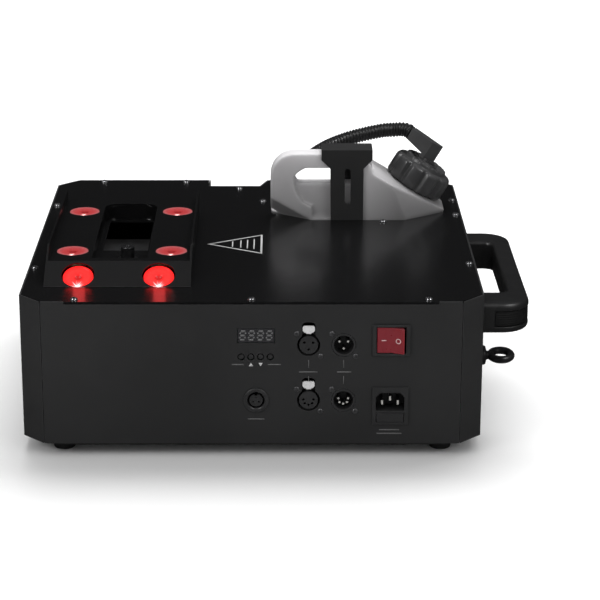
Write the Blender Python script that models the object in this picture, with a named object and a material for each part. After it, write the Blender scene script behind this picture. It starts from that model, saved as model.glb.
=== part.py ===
"""Vertical fog machine with six LED lenses, a tilted fluid jug and a side handle.

Metres, +Z up.  The machine stands on four rubber feet with the middle of its
bounding box's base at the world origin.  The control panel faces -Y and the
side handle is on +X.  Every piece is modelled in the casing's own frame,
whose origin is the middle of the casing's underside, and hangs on the empty
"casing_frame" that carries the casing to its place.
"""

import math

import bmesh
import bpy
from mathutils import Matrix, Vector

GAP = 0.0003              # clearance between pieces that touch
SHEET = 0.0015            # folded sheet steel
LID_T = 0.002             # top cover

# Casing
WIDTH = 0.390
DEPTH = 0.385
HEIGHT = 0.1263
CORNER = 0.0192           # 45 degree corner chamfer, seen from above
FOOT_H = 0.012
FOOT_R = 0.0093
FOOT_X = 0.161
FOOT_Y = 0.168
HALF_W = WIDTH / 2
HALF_D = DEPTH / 2
FRONT = -HALF_D
LID_NOTCH_X = 0.156       # half-length of the lid edge that shows at the front and rear
LID_Z = HEIGHT            # top face of the lid

# Raised LED housing on the lid
HOUSING_X0 = -0.1765
HOUSING_X1 = -0.0519
HOUSING_REAR = 0.069
CHEEK_H = 0.0247
CHEEK_KINK_Y = -0.108
HOUSING_FRONT = -0.154
DECK_H = 0.015
SLOPE = math.atan2(CHEEK_H, CHEEK_KINK_Y - HOUSING_FRONT)
LENS_R = 0.0135
LENS_DEPTH = 0.0078
LENS_HOLE_R = 0.0142
LENS_COLUMNS = (-0.1562, -0.0705)
LENS_ROWS = (0.028, -0.096)
FRONT_LENS_COLUMNS = (-0.1481, -0.0794)
FRONT_LENS_DROP = 0.0151  # from the panel's lower edge, measured up the slope
FRONT_LENS_RECESS = 0.0026
DECK_LENS_RECESS = 0.0001
WELL_X0 = -0.1384
WELL_X1 = -0.0900
WELL_Y0 = -0.118
WELL_Y1 = 0.053
WELL_CORNER_R = 0.012
NOZZLE_X = -0.110
NOZZLE_Y = -0.075
NOZZLE_R = 0.006
NOZZLE_TOP = 0.0127       # above the lid

# Jug bay and jug
BAY_X0 = 0.0154
BAY_X1 = 0.1788
BAY_Y0 = 0.0500
BAY_Y1 = 0.162
BAY_CHAMFER_X = 0.0385
BAY_CHAMFER_Y = 0.0275
JUG_FRONT = 0.0532
JUG_CLEAR = 0.0012
JUG_TOP = 0.189
JUG_FLOOR = 0.006
LOOP_DEPTH = 0.020
LOOP_BAR_Z = 0.1752       # underside of the jug's handle bar
LOOP_SILL_Z = 0.1600      # top of the web below the finger hole
HOLE_END_X = 0.092
SHOULDER_X = 0.1105       # where the sloping shoulder meets the upright block
TANK_TOP_Z = 0.1283
SHOULDER_FOOT_Z = 0.1273   # underside of the jug's shoulder, just above the lid
NECK = Vector((0.1502, 0.103, 0.1460))
NECK_TILT = math.radians(31)
NECK_R = 0.022
NECK_LEN = 0.0165
CAP_R = 0.0290
CAP_BASE = 0.0016
CAP_TOP = 0.0230
CAP_DISC_TOP = 0.0270
CAP_BORE_R = 0.0072
ELBOW_SWING = math.radians(25)   # how far the elbow's arm is turned to the rear
STRAP_X0 = 0.0728
STRAP_X1 = 0.1015
STRAP_HEAD_X0 = 0.0623
STRAP_HEAD_X1 = 0.1098
STRAP_Y0 = 0.0504
STRAP_T = 0.0018
STRAP_FLARE = 0.0022      # how far the left edge leans out by the head
STRAP_PLATE_DEPTH = 0.0255
STRAP_TOP_Z = 0.1937

# Hose from the cap's elbow to the casing
HOSE_R = 0.0070
HOSE_ROUTE = (
    (0.1487, 0.1151, 0.1939), (0.1456, 0.1168, 0.1958), (0.1400, 0.1180, 0.1965),
    (0.1330, 0.1182, 0.1962), (0.1198, 0.1165, 0.1955), (0.0972, 0.1150, 0.1908),
    (0.0813, 0.1175, 0.1848),
    (0.0672, 0.1240, 0.1767), (0.0530, 0.1340, 0.1650), (0.0420, 0.1460, 0.1560),
    (0.0335, 0.1575, 0.1485), (0.0275, 0.1665, 0.1415), (0.0244, 0.1722, 0.1360),
    (0.0240, 0.1730, 0.1328), (0.0240, 0.1730, 0.1300),
)

# Recess in the rear edge, whose right-hand side is cut on the slant
RECESS_X0 = -0.0466
RECESS_X1 = 0.0136
RECESS_SLANT = 0.0078
RECESS_Y0 = 0.1690
RECESS_FLOOR = 0.092

# Ventilation slots in the rear wall
VENT_GROUPS_X = (-0.085, 0.060)
VENT_COUNT = 10
VENT_PITCH = 0.009
VENT_W = 0.004
VENT_Z0 = 0.030
VENT_Z1 = 0.065

# Control panel, as (x, z) of each fitting's middle
DISPLAY = (0.0037, 0.0966)
DISPLAY_SIZE = (0.0315, 0.0133)
BUTTONS = (
    ("menu_button", -0.0087), ("up_button", -0.0006),
    ("down_button", 0.0075), ("enter_button", 0.0156),
)
BUTTON_Z = 0.0778
BUTTON_HOLE_R = 0.00315
BUTTON_R = 0.0027
REMOTE = (0.0036, 0.0392)
REMOTE_R = 0.0108
XLR_OUT_X = 0.0477
XLR_IN_X = 0.0770
XLR_ROW_Z = (0.0883, 0.0391)
XLR_OUT_HOLE_R = 0.00975
XLR_IN_HOLE_R = 0.0104
TAB_Z = 0.0135            # release tab's middle above its socket's middle
SWITCH = (0.11655, 0.0927)
SWITCH_SIZE = (0.0315, 0.0274)
ROCKER_SIZE = (0.0238, 0.0223)
INLET = (0.1164, 0.0342)
INLET_SIZE = (0.0304, 0.0334)

# Right side
HANDLE_X1 = 0.2350
HANDLE_Y0 = -0.172
HANDLE_Y1 = 0.0400
HANDLE_Z0 = 0.0909
HANDLE_Z1 = 0.1175
HANDLE_R = 0.024
HANDLE_GAP_X1 = 0.2186
HANDLE_GAP_Y0 = -0.1375
HANDLE_GAP_Y1 = 0.008
GRIP_Z0 = 0.0968
GRIP_Z1 = 0.1110
GRIP_DEPTH = 0.0020
EYE_Y = -0.130
EYE_Z = 0.0571
EYE_RING_R = 0.0088
EYE_TUBE_R = 0.0033
EYE_X = 0.2149
EYE_ROLL = math.radians(8)   # how far the ring leans out of level, about its shank

# The handle sets the right-hand end of the bounding box, the rocker its front
ROCKER_RISE = math.radians(22)
ROCKER_FLUSH = 0.0010     # how far the pressed half stands proud of the panel
ROCKER_PROUD = ROCKER_FLUSH + ROCKER_SIZE[0] / 2 * math.sin(ROCKER_RISE)
FRAME_X = -(HANDLE_X1 - HALF_W) / 2
FRAME_Y = ROCKER_PROUD / 2

PALETTE = {
    "painted_steel": ((0.022, 0.022, 0.023), 0.45, 0.0),
    "lid_paint": ((0.010, 0.010, 0.011), 0.25, 0.0),
    "black_plastic": ((0.015, 0.015, 0.016), 0.50, 0.0),
    "rubber": ((0.012, 0.012, 0.012), 0.80, 0.0),
    "lens_red": ((0.90, 0.04, 0.04), 0.20, 0.0),
    "board": ((0.02, 0.16, 0.07), 0.60, 0.0),
    "aluminium": ((0.55, 0.56, 0.58), 0.40, 1.0),
    "insulation": ((0.020, 0.020, 0.021), 0.95, 0.0),
    "zinc": ((0.50, 0.50, 0.52), 0.35, 1.0),
    "jug_plastic": ((0.36, 0.35, 0.36), 0.45, 0.0),
    "brass": ((0.60, 0.42, 0.16), 0.35, 1.0),
    "tube": ((0.65, 0.66, 0.62), 0.40, 0.0),
    "display": ((0.020, 0.020, 0.022), 0.25, 0.0),
    "switch_red": ((0.45, 0.03, 0.04), 0.35, 0.0),
    "tab_metal": ((0.80, 0.80, 0.80), 0.35, 0.2),
}


# ---------------------------------------------------------------- tools

def material(name):
    """The palette's material of this name, made when first asked for."""
    found = bpy.data.materials.get(name)
    if found:
        return found
    colour, roughness, metallic = PALETTE[name]
    mat = bpy.data.materials.new(name)
    mat.use_nodes = True
    shader = mat.node_tree.nodes["Principled BSDF"]
    shader.inputs["Base Color"].default_value = (*colour, 1.0)
    shader.inputs["Roughness"].default_value = roughness
    shader.inputs["Metallic"].default_value = metallic
    mat.diffuse_color = (*colour, 1.0)
    return mat


def solid(bm):
    """A scene object from a bmesh, with its faces pointing out."""
    bmesh.ops.recalc_face_normals(bm, faces=bm.faces)
    mesh = bpy.data.meshes.new("shape")
    bm.to_mesh(mesh)
    bm.free()
    obj = bpy.data.objects.new("shape", mesh)
    bpy.context.collection.objects.link(obj)
    return obj


def point(axis, u, v, w):
    """A point at (u, v) in the plane across an axis, and at w along it."""
    if axis == "x":
        return (w, u, v)
    if axis == "y":
        return (u, w, v)
    return (u, v, w)


def extrude(outline, axis, lo, hi):
    """A prism of a closed outline from lo to hi along an axis."""
    bm = bmesh.new()
    ends = []
    for w in (lo, hi):
        ends.append([bm.verts.new(point(axis, u, v, w)) for u, v in outline])
    count = len(outline)
    for i in range(count):
        j = (i + 1) % count
        bm.faces.new((ends[0][i], ends[0][j], ends[1][j], ends[1][i]))
    bm.faces.new(ends[0])
    bm.faces.new(ends[1])
    return solid(bm)


def box(lo, hi):
    """A block between two corners."""
    outline = ((lo[0], lo[1]), (hi[0], lo[1]), (hi[0], hi[1]), (lo[0], hi[1]))
    return extrude(outline, "z", lo[2], hi[2])


def arc(cx, cy, r, start, end, count):
    """Points on an arc, angles in degrees, both ends included."""
    points = []
    for i in range(count + 1):
        a = math.radians(start + (end - start) * i / count)
        points.append((cx + r * math.cos(a), cy + r * math.sin(a)))
    return points


def disc(cx, cy, r, axis, lo, hi, sides=24):
    """A cylinder along a coordinate axis."""
    outline = arc(cx, cy, r, 0, 360 * (sides - 1) / sides, sides - 1)
    return extrude(outline, axis, lo, hi)


def turned(profile, sides=24):
    """A solid of revolution about Z from a closed (radius, z) outline."""
    bm = bmesh.new()
    rings = []
    for r, z in profile:
        if r <= 0:
            rings.append([bm.verts.new((0, 0, z))] * sides)
            continue
        ring = []
        for i in range(sides):
            a = 2 * math.pi * i / sides
            ring.append(bm.verts.new((r * math.cos(a), r * math.sin(a), z)))
        rings.append(ring)
    closed = all(r > 0 for r, _ in profile)
    spans = len(rings) if closed else len(rings) - 1
    for k in range(spans):
        low, high = rings[k], rings[(k + 1) % len(rings)]
        for i in range(sides):
            j = (i + 1) % sides
            corners = []
            for vert in (low[i], low[j], high[j], high[i]):
                if vert not in corners:
                    corners.append(vert)
            if len(corners) > 2:
                bm.faces.new(corners)
    return solid(bm)


def placed(obj, matrix):
    """The same shape with its mesh carried by a matrix."""
    obj.data.transform(matrix)
    return obj


def tidied(mesh):
    """The mesh with flat neighbouring faces merged."""
    bm = bmesh.new()
    bm.from_mesh(mesh)
    bmesh.ops.dissolve_limit(
        bm, angle_limit=math.radians(0.2), verts=bm.verts, edges=bm.edges)
    bm.to_mesh(mesh)
    bm.free()
    return mesh


def combine(base, tools, operation):
    """The base shape with each tool shape joined to it or cut from it."""
    for tool in tools:
        step = base.modifiers.new("step", "BOOLEAN")
        step.operation = operation
        step.solver = "EXACT"
        step.object = tool
    depsgraph = bpy.context.evaluated_depsgraph_get()
    mesh = bpy.data.meshes.new_from_object(base.evaluated_get(depsgraph))
    base.modifiers.clear()
    base.data = tidied(mesh)
    for tool in tools:
        bpy.data.objects.remove(tool)
    return base


def cut(base, *tools):
    return combine(base, tools, "DIFFERENCE")


def join(base, *tools):
    return combine(base, tools, "UNION")


def piece(obj, name, mat, at=(0, 0, 0), turn=(0, 0, 0), smooth=True):
    """Name a finished shape, give it its material and hang it on the casing."""
    obj.name = name
    obj.data.name = name
    obj.data.materials.clear()
    obj.data.materials.append(material(mat))
    if smooth:
        obj.data.shade_smooth()
        obj.data.set_sharp_from_angle(angle=math.radians(35))
    obj.parent = bpy.data.objects["casing_frame"]
    obj.location = at
    obj.rotation_euler = turn
    return obj


def octagon(inset_x, inset_y, corner):
    """The casing's plan outline, drawn in by a margin."""
    x, y = HALF_W - inset_x, HALF_D - inset_y
    return (
        (-x, -y + corner), (-x + corner, -y), (x - corner, -y), (x, -y + corner),
        (x, y - corner), (x - corner, y), (-x + corner, y), (-x, y - corner),
    )


def facing_front(obj):
    """Turn a shape built up along +Z so that its top faces -Y."""
    return placed(obj, Matrix.Rotation(math.radians(90), 4, "X"))


# ---------------------------------------------------------------- casing

def panel_cutters(y0, y1):
    """Cutters for every opening of the control panel."""
    cutters = []
    cutters.append(rect_cutter(DISPLAY, DISPLAY_SIZE, y0, y1))
    for _, x in BUTTONS:
        cutters.append(disc(x, BUTTON_Z, BUTTON_HOLE_R, "y", y0, y1, 16))
    cutters.append(disc(*REMOTE, REMOTE_R - 0.0012, "y", y0, y1, 24))
    for z in XLR_ROW_Z:
        cutters.append(disc(XLR_OUT_X, z, XLR_OUT_HOLE_R, "y", y0, y1, 24))
        cutters.append(extrude(tab_hole(XLR_OUT_X, z), "y", y0, y1))
        cutters.append(disc(XLR_IN_X, z, XLR_IN_HOLE_R, "y", y0, y1, 24))
    body = (SWITCH_SIZE[0] - 0.003, SWITCH_SIZE[1] - 0.003)
    cutters.append(rect_cutter(SWITCH, body, y0, y1))
    body = (INLET_SIZE[0] - 0.002, INLET_SIZE[1] - 0.002)
    cutters.append(rect_cutter(INLET, body, y0, y1))
    return cutters


def tab_hole(x, z):
    """(x, z) outline of the arched opening that a release tab works in."""
    half = ((0.0057, 0.0070), (0.0057, 0.0172), (0.0046, 0.0192), (0.0024, 0.0201))
    right = [(x + u, z + v) for u, v in half]
    return right + [(x - u, z + v) for u, v in half[::-1]]


def rect_cutter(middle, size, y0, y1):
    """A block through the control panel, by its middle and size in X and Z."""
    x, z = middle
    w, h = size[0] / 2, size[1] / 2
    return box((x - w, y0, z - h), (x + w, y1, z + h))


def build_base_tray():
    """Floor, front wall and rear wall, folded from one sheet."""
    side = SHEET + GAP
    floor = extrude(octagon(side, 0, CORNER + 0.0004), "z", 0, SHEET)
    fold_x = HALF_W - CORNER - GAP
    low_z = HEIGHT - LID_T - GAP
    walls = []
    for y0, y1 in ((FRONT, FRONT + SHEET), (HALF_D - SHEET, HALF_D)):
        outline = (
            (-fold_x, 0.0002), (fold_x, 0.0002), (fold_x, HEIGHT), (LID_NOTCH_X, HEIGHT),
            (LID_NOTCH_X, low_z), (-LID_NOTCH_X, low_z), (-LID_NOTCH_X, HEIGHT), (-fold_x, HEIGHT),
        )
        walls.append(extrude(outline, "y", y0, y1))
    tray = join(floor, *walls)
    tools = panel_cutters(FRONT - 0.001, FRONT + SHEET + 0.001)
    tools.append(extrude(recess_outline(0), "z", RECESS_FLOOR, HEIGHT + 0.01))
    for group_x in VENT_GROUPS_X:
        for i in range(VENT_COUNT):
            x = group_x + VENT_PITCH * i
            tools.append(box((x, HALF_D - 0.003, VENT_Z0), (x + VENT_W, HALF_D + 0.003, VENT_Z1)))
    piece(cut(tray, *tools), "base_tray", "painted_steel")


def build_side_panels():
    """Left and right walls, each with its two chamfered corners."""
    for name, side in (("left_side_panel", -1), ("right_side_panel", 1)):
        x, y, c = HALF_W, HALF_D, CORNER
        t = SHEET
        k = t * math.tan(math.radians(22.5))
        outline = [
            (side * (x - c), -y), (side * x, -y + c), (side * x, y - c), (side * (x - c), y),
            (side * (x - c + k), y - t), (side * (x - t), y - c - k),
            (side * (x - t), -y + c + k), (side * (x - c + k), -y + t),
        ]
        panel = extrude(outline, "z", 0, HEIGHT)
        if side > 0:
            hole = disc(EYE_Y, EYE_Z, 0.0034, "x", x - 0.01, x + 0.01, 16)
            panel = cut(panel, hole)
        piece(panel, name, "painted_steel")


def bay_outline(margin, rear=BAY_Y1):
    """The jug bay's plan, drawn in by a margin."""
    x0, x1 = BAY_X0 + margin, BAY_X1 - margin
    y0, y1 = BAY_Y0 + margin, rear - margin
    return (
        (x0, y0 + BAY_CHAMFER_Y), (x0 + BAY_CHAMFER_X, y0), (x1 - BAY_CHAMFER_X, y0),
        (x1, y0 + BAY_CHAMFER_Y), (x1, y1 - 0.012), (x1 - 0.012, y1),
        (x0 + 0.012, y1), (x0, y1 - 0.012),
    )


def build_top_cover():
    """Lid plate: inside the side panels, over the front and rear walls."""
    z0, z1 = HEIGHT - LID_T, HEIGHT
    inset = SHEET + GAP
    plate = extrude(octagon(inset, inset, CORNER - 0.0007), "z", z0, z1)
    edge_x = LID_NOTCH_X - GAP
    lips = []
    for y0, y1 in ((FRONT, FRONT + 0.01), (HALF_D - 0.01, HALF_D)):
        lips.append(box((-edge_x, y0, z0), (edge_x, y1, z1)))
    plate = join(plate, *lips)
    tools = [
        extrude(bay_outline(0), "z", z0 - 0.005, z1 + 0.005),
        box((HOUSING_X0 + 0.005, -0.1527, z0 - 0.005), (HOUSING_X1 - 0.005, 0.060, z1 + 0.005)),
        extrude(recess_outline(0), "z", z0 - 0.005, z1 + 0.005),
        disc(*HOSE_ROUTE[-1][:2], 0.0054, "z", z0 - 0.005, z1 + 0.005, 20),
    ]
    piece(cut(plate, *tools), "top_cover", "lid_paint")


def recess_outline(margin, rear=HALF_D + 0.01):
    """The rear recess's plan, drawn in by a margin."""
    x0, x1 = RECESS_X0 + margin, RECESS_X1 - margin
    y0 = RECESS_Y0 + margin
    lean = RECESS_SLANT / (HALF_D - RECESS_Y0)
    return (
        (x0, y0), (x1 - RECESS_SLANT, y0),
        (x1 - RECESS_SLANT + lean * (rear - y0), rear), (x0, rear),
    )


def build_rear_recess():
    """Folded tray that closes the notch in the casing's rear edge."""
    z0 = RECESS_FLOOR + GAP
    tray = extrude(recess_outline(GAP, HALF_D), "z", z0, HEIGHT)
    hollow = extrude(recess_outline(GAP + SHEET), "z", z0 + SHEET, HEIGHT + 0.01)
    piece(cut(tray, hollow), "rear_recess", "painted_steel")


def build_feet():
    profile = (
        (0.0, -GAP), (FOOT_R, -GAP), (FOOT_R, -FOOT_H + 0.002), (FOOT_R - 0.0012, -FOOT_H),
        (0.0045, -FOOT_H), (0.0045, -FOOT_H + 0.004), (0.0, -FOOT_H + 0.004),
    )
    for end, y in (("front", -FOOT_Y), ("rear", FOOT_Y)):
        for side, x in (("left", -FOOT_X), ("right", FOOT_X)):
            piece(turned(profile[::-1], 20), f"foot_{end}_{side}", "rubber", at=(x, y, 0))


# ---------------------------------------------------------------- LED housing

def slope_point(up, depth):
    """(y, z) on the sloping front panel: up its slope, and behind its face."""
    y = HOUSING_FRONT + up * math.cos(SLOPE) + depth * math.sin(SLOPE)
    z = LID_Z + up * math.sin(SLOPE) - depth * math.cos(SLOPE)
    return y, z


def well_outline(margin):
    """The nozzle well's plan with its two rounded rear corners."""
    x0, x1 = WELL_X0 - margin, WELL_X1 + margin
    y0, y1 = WELL_Y0 - margin, WELL_Y1 + margin
    r = WELL_CORNER_R + margin
    outline = [(x0, y0), (x1, y0)]
    outline += arc(x1 - r, y1 - r, r, 0, 90, 5)
    outline += arc(x0 + r, y1 - r, r, 90, 180, 5)
    return outline


def build_led_housing():
    """Two cheeks with a deck, a sloping front and a rear wall between them."""
    base = LID_Z + GAP
    top = LID_Z + CHEEK_H
    front = HOUSING_FRONT + GAP / math.tan(SLOPE)
    cheek = ((front, base), (HOUSING_REAR, base), (HOUSING_REAR, top), (CHEEK_KINK_Y, top))
    t = SHEET
    left = extrude(cheek, "x", HOUSING_X0, HOUSING_X0 + t)
    right = extrude(cheek, "x", HOUSING_X1 - t, HOUSING_X1)
    ridge = slope_point(DECK_H / math.sin(SLOPE), 0)
    deck_z = LID_Z + DECK_H
    under_y = HOUSING_FRONT + (t + GAP * math.cos(SLOPE)) / math.sin(SLOPE)
    bridge = (
        (front, base), ridge, (HOUSING_REAR, deck_z), (HOUSING_REAR, base),
        (HOUSING_REAR - t, base), (HOUSING_REAR - t, deck_z - t),
        (ridge[0] + t * math.tan(SLOPE / 2), deck_z - t), (under_y, base),
    )
    deck = extrude(bridge, "x", HOUSING_X0 + 0.0005, HOUSING_X1 - 0.0005)
    shell = join(deck, left, right)
    tools = [extrude(well_outline(0), "z", deck_z - 0.01, deck_z + 0.01)]
    for x in LENS_COLUMNS:
        for y in LENS_ROWS:
            tools.append(disc(x, y, LENS_HOLE_R, "z", deck_z - 0.01, deck_z + 0.01, 24))
    tilt = Matrix.Rotation(SLOPE, 4, "X")
    y, z = slope_point(FRONT_LENS_DROP, 0)
    for x in FRONT_LENS_COLUMNS:
        hole = disc(0, 0, LENS_HOLE_R, "z", -0.006, 0.006, 24)
        tools.append(placed(hole, Matrix.Translation((x, y, z)) @ tilt))
    piece(cut(shell, *tools), "led_housing", "lid_paint")


def build_nozzle_well():
    """Open tub under the deck: the nozzle stands on its floor."""
    z0 = LID_Z - LID_T
    top = LID_Z + DECK_H - SHEET - GAP
    wall = 0.0012
    tub = extrude(well_outline(wall), "z", z0, top)
    hollow = extrude(well_outline(0), "z", LID_Z, top + 0.01)
    throat = box((-0.134, -0.047, z0 - 0.01), (-0.094, 0.047, LID_Z + 0.01))
    bore = disc(NOZZLE_X, NOZZLE_Y, NOZZLE_R + 0.0004, "z", z0 - 0.01, LID_Z + 0.01, 20)
    piece(cut(tub, hollow, throat, bore), "nozzle_well", "lid_paint")


def lens_shape():
    """A collimator lens facing +Z: shallow dish with a dimple, cone behind."""
    profile = (
        (0.0, -0.0016), (0.0022, -0.0014), (0.0034, -0.0006), (0.0125, 0.0),
        (LENS_R, -0.0004), (LENS_R, -0.0014), (0.0050, -LENS_DEPTH), (0.0, -LENS_DEPTH),
    )
    return turned(profile[::-1], 24)


def build_lenses():
    """Four lenses in the deck and two in the sloping front panel."""
    z = LID_Z + DECK_H - DECK_LENS_RECESS
    for row, y in zip(("rear", "middle"), LENS_ROWS):
        for side, x in zip(("left", "right"), LENS_COLUMNS):
            piece(lens_shape(), f"lens_{row}_{side}", "lens_red", at=(x, y, z))
    y, z = slope_point(FRONT_LENS_DROP, FRONT_LENS_RECESS)
    for side, x in zip(("left", "right"), FRONT_LENS_COLUMNS):
        piece(lens_shape(), f"lens_front_{side}", "lens_red", at=(x, y, z), turn=(SLOPE, 0, 0))


def led_board(length, width, spots):
    """A metal-core board in XY with a square LED at each spot."""
    board = box((-width / 2, -length / 2, -0.0016), (width / 2, length / 2, 0))
    chips = []
    for x, y in spots:
        chips.append(box((x - 0.0025, y - 0.0025, -0.0005), (x + 0.0025, y + 0.0025, 0.0012)))
    return join(board, *chips)


def build_led_boards():
    """Two boards under the deck and one behind the sloping front."""
    z = LID_Z + DECK_H - DECK_LENS_RECESS - LENS_DEPTH - 0.0016
    middle = sum(LENS_ROWS) / 2
    reach = (LENS_ROWS[0] - LENS_ROWS[1]) / 2
    for side, x in zip(("left", "right"), LENS_COLUMNS):
        board = led_board(0.150, 0.0235, ((0, -reach), (0, reach)))
        piece(board, f"led_board_{side}", "board", at=(x, middle, z))
    y, z = slope_point(FRONT_LENS_DROP, FRONT_LENS_RECESS + LENS_DEPTH + 0.0016)
    half = (FRONT_LENS_COLUMNS[1] - FRONT_LENS_COLUMNS[0]) / 2
    board = led_board(0.014, 0.090, ((-half, 0), (half, 0)))
    x = sum(FRONT_LENS_COLUMNS) / 2
    piece(board, "led_board_front", "board", at=(x, y, z), turn=(SLOPE, 0, 0))


# ---------------------------------------------------------------- heater

def build_heater():
    """Nozzle, heated block, insulation shell and its stand."""
    block_top = 0.0960
    nozzle = (
        (0.0012, block_top + GAP - LID_Z), (NOZZLE_R - 0.0010, block_top + GAP - LID_Z),
        (NOZZLE_R - 0.0010, GAP), (0.0088, GAP), (0.0088, 0.0016), (NOZZLE_R, 0.0016),
        (NOZZLE_R, NOZZLE_TOP - 0.0008), (NOZZLE_R - 0.0008, NOZZLE_TOP),
        (0.0022, NOZZLE_TOP), (0.0012, NOZZLE_TOP - 0.002),
    )
    piece(turned(nozzle, 20), "fog_nozzle", "zinc", at=(NOZZLE_X, NOZZLE_Y, LID_Z))

    lo, hi = (-0.150, -0.105, 0.046), (-0.074, 0.045, block_top)
    block = box(lo, hi)
    inlet = disc(-0.112, 0.072, 0.003, "y", hi[1] - 0.020, hi[1] + 0.01, 12)
    outlet = disc(NOZZLE_X, NOZZLE_Y, 0.0012, "z", 0.072, block_top + 0.01, 12)
    way = disc(NOZZLE_X, 0.0735, 0.0012, "y", NOZZLE_Y, hi[1] - 0.015, 12)
    piece(cut(block, inlet, outlet, way), "heater_block", "aluminium")

    wrap = 0.010
    outer = box([v - wrap for v in lo], [v + wrap for v in hi])
    inner = box([v - GAP for v in lo], [v + GAP for v in hi])
    port = disc(NOZZLE_X, NOZZLE_Y, 0.0056, "z", 0.090, 0.120, 16)
    feed = disc(-0.112, 0.072, 0.0040, "y", 0.040, 0.070, 12)
    leads = disc(-0.130, 0.060, 0.0040, "y", 0.040, 0.070, 12)
    piece(cut(outer, inner, port, feed, leads), "heater_insulation", "insulation")

    top, low = lo[2] - wrap - GAP, SHEET + GAP
    x0, x1 = -0.150, -0.074
    profile = (
        (x0 - 0.012, low), (x0 + SHEET, low), (x0 + SHEET, top - SHEET), (x1 - SHEET, top - SHEET),
        (x1 - SHEET, low), (x1 + 0.012, low), (x1 + 0.012, low + SHEET), (x1, low + SHEET),
        (x1, top), (x0, top), (x0, low + SHEET), (x0 - 0.012, low + SHEET),
    )
    piece(extrude(profile, "y", -0.085, 0.025), "heater_stand", "zinc")


# ---------------------------------------------------------------- jug

def jug_front_outline():
    """(x, z) of the jug above the lid: handle corner, flat top, sloping shoulder."""
    x0 = BAY_X0 - 0.0003
    x1 = BAY_X1 - JUG_CLEAR
    radius = 0.022
    slope = math.tan(NECK_TILT)
    end_z = NECK.z - (x1 - NECK.x) * slope
    outline = [(x0, SHOULDER_FOOT_Z), (x1 + 0.0022, SHOULDER_FOOT_Z), (x1, end_z)]
    outline.append((SHOULDER_X, NECK.z + (NECK.x - SHOULDER_X) * slope))
    outline.append((0.104, JUG_TOP))
    outline += arc(x0 + radius, JUG_TOP - radius, radius, 90, 180, 6)
    return outline


def plane_cutter(a, b, c, size=0.4):
    """A thick slab whose face holds three points, on the side that the normal leaves."""
    a, b, c = Vector(a), Vector(b), Vector(c)
    normal = (b - a).cross(c - a).normalized()
    slab = box((-size, -size, 0), (size, size, size))
    turn = normal.to_track_quat("Z", "Y").to_matrix().to_4x4()
    return placed(slab, Matrix.Translation((a + b + c) / 3) @ turn)


def build_jug():
    """Blow-moulded jug: tank in the bay, handle loop at the front left, tilted neck."""
    tank = extrude(bay_outline(JUG_CLEAR), "z", JUG_FLOOR, TANK_TOP_Z)
    shape = jug_front_outline()
    upper = extrude(shape, "y", JUG_FRONT, BAY_Y1 - 0.004)
    x0 = BAY_X0
    behind = box((0.0, JUG_FRONT + LOOP_DEPTH, TANK_TOP_Z - 0.0005), (SHOULDER_X, 0.3, 0.3))
    left = plane_cutter(
        (x0, BAY_Y0 + BAY_CHAMFER_Y, HEIGHT + 0.0012),
        (x0 + BAY_CHAMFER_X, BAY_Y0, HEIGHT + 0.0012),
        (x0, JUG_FRONT, HEIGHT + 0.0205))
    right = plane_cutter(
        (0.1268, JUG_FRONT, 0.163), (0.1415, JUG_FRONT, HEIGHT + 0.0005),
        (BAY_X1 - 0.001, BAY_Y0 + BAY_CHAMFER_Y, HEIGHT + 0.0015))
    slope = math.tan(NECK_TILT)
    x_end = BAY_X1 - JUG_CLEAR
    high, low = NECK.z + (NECK.x - SHOULDER_X) * slope, NECK.z - (x_end - NECK.x) * slope
    rear = plane_cutter(
        (SHOULDER_X, 0.112, high), (x_end, 0.112, low), (SHOULDER_X, 0.160, high - 0.0215))
    upper = cut(upper, behind, left, right, rear)
    neck_frame = Matrix.Translation(NECK) @ Matrix.Rotation(NECK_TILT, 4, "Y")
    neck = placed(disc(0, 0, NECK_R, "z", -0.012, NECK_LEN, 24), neck_frame)
    collar = placed(disc(0, 0, 0.0262, "z", -0.010, 0.0002, 24), neck_frame)
    body = join(tank, upper, neck, collar)
    hole = [(HOLE_END_X, LOOP_SILL_Z), (HOLE_END_X, LOOP_BAR_Z), (0.0475, LOOP_BAR_Z)]
    hole += [(0.0400, 0.1705), (0.0374, 0.1665), (0.0400, LOOP_SILL_Z)]
    window = extrude(hole, "y", 0.0, 0.3)
    recess = [(0.0374, 0.1680), (0.0370, 0.1600), (0.0400, 0.1500), (0.0455, 0.1420)]
    recess += [(0.0525, 0.1385), (0.0540, 0.1385), (0.0540, 0.1275), (HOLE_END_X, 0.1275)]
    recess += [(HOLE_END_X, 0.1680)]
    dish = extrude(recess, "y", 0.0, JUG_FRONT + 0.0045)
    hollow = extrude(bay_outline(JUG_CLEAR + 0.0035), "z", JUG_FLOOR + 0.003, 0.121)
    strap_room = box((0.0, 0.0, 0.0), (0.3, JUG_FRONT, 0.3))
    throat = placed(disc(0, 0, 0.0170, "z", -0.050, NECK_LEN + 0.01, 20), neck_frame)
    jug = cut(body, window, dish, hollow, throat, strap_room)
    piece(jug, "fluid_jug", "jug_plastic")


def build_cap():
    """Screw cap with coarse grip lobes, turning about the neck's axis."""
    lobes = 10
    outline = []
    for i in range(lobes):
        middle = 360 * i / lobes
        for offset, radius in ((-13, CAP_R), (0, CAP_R), (13, CAP_R), (18, CAP_R - 0.0022)):
            a = math.radians(middle + offset)
            outline.append((radius * math.cos(a), radius * math.sin(a)))
    skirt = extrude(outline, "z", CAP_BASE, CAP_TOP)
    plate = disc(0, 0, 0.0200, "z", CAP_TOP - 0.001, CAP_DISC_TOP, 24)
    cap = join(skirt, plate)
    thread = disc(0, 0, NECK_R + 0.0006, "z", -0.01, NECK_LEN + 0.0018, 24)
    bore = disc(0, 0, CAP_BORE_R, "z", 0.0, 0.05, 20)
    piece(cut(cap, thread, bore), "jug_cap", "black_plastic", at=NECK, turn=(0, NECK_TILT, 0))


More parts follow.
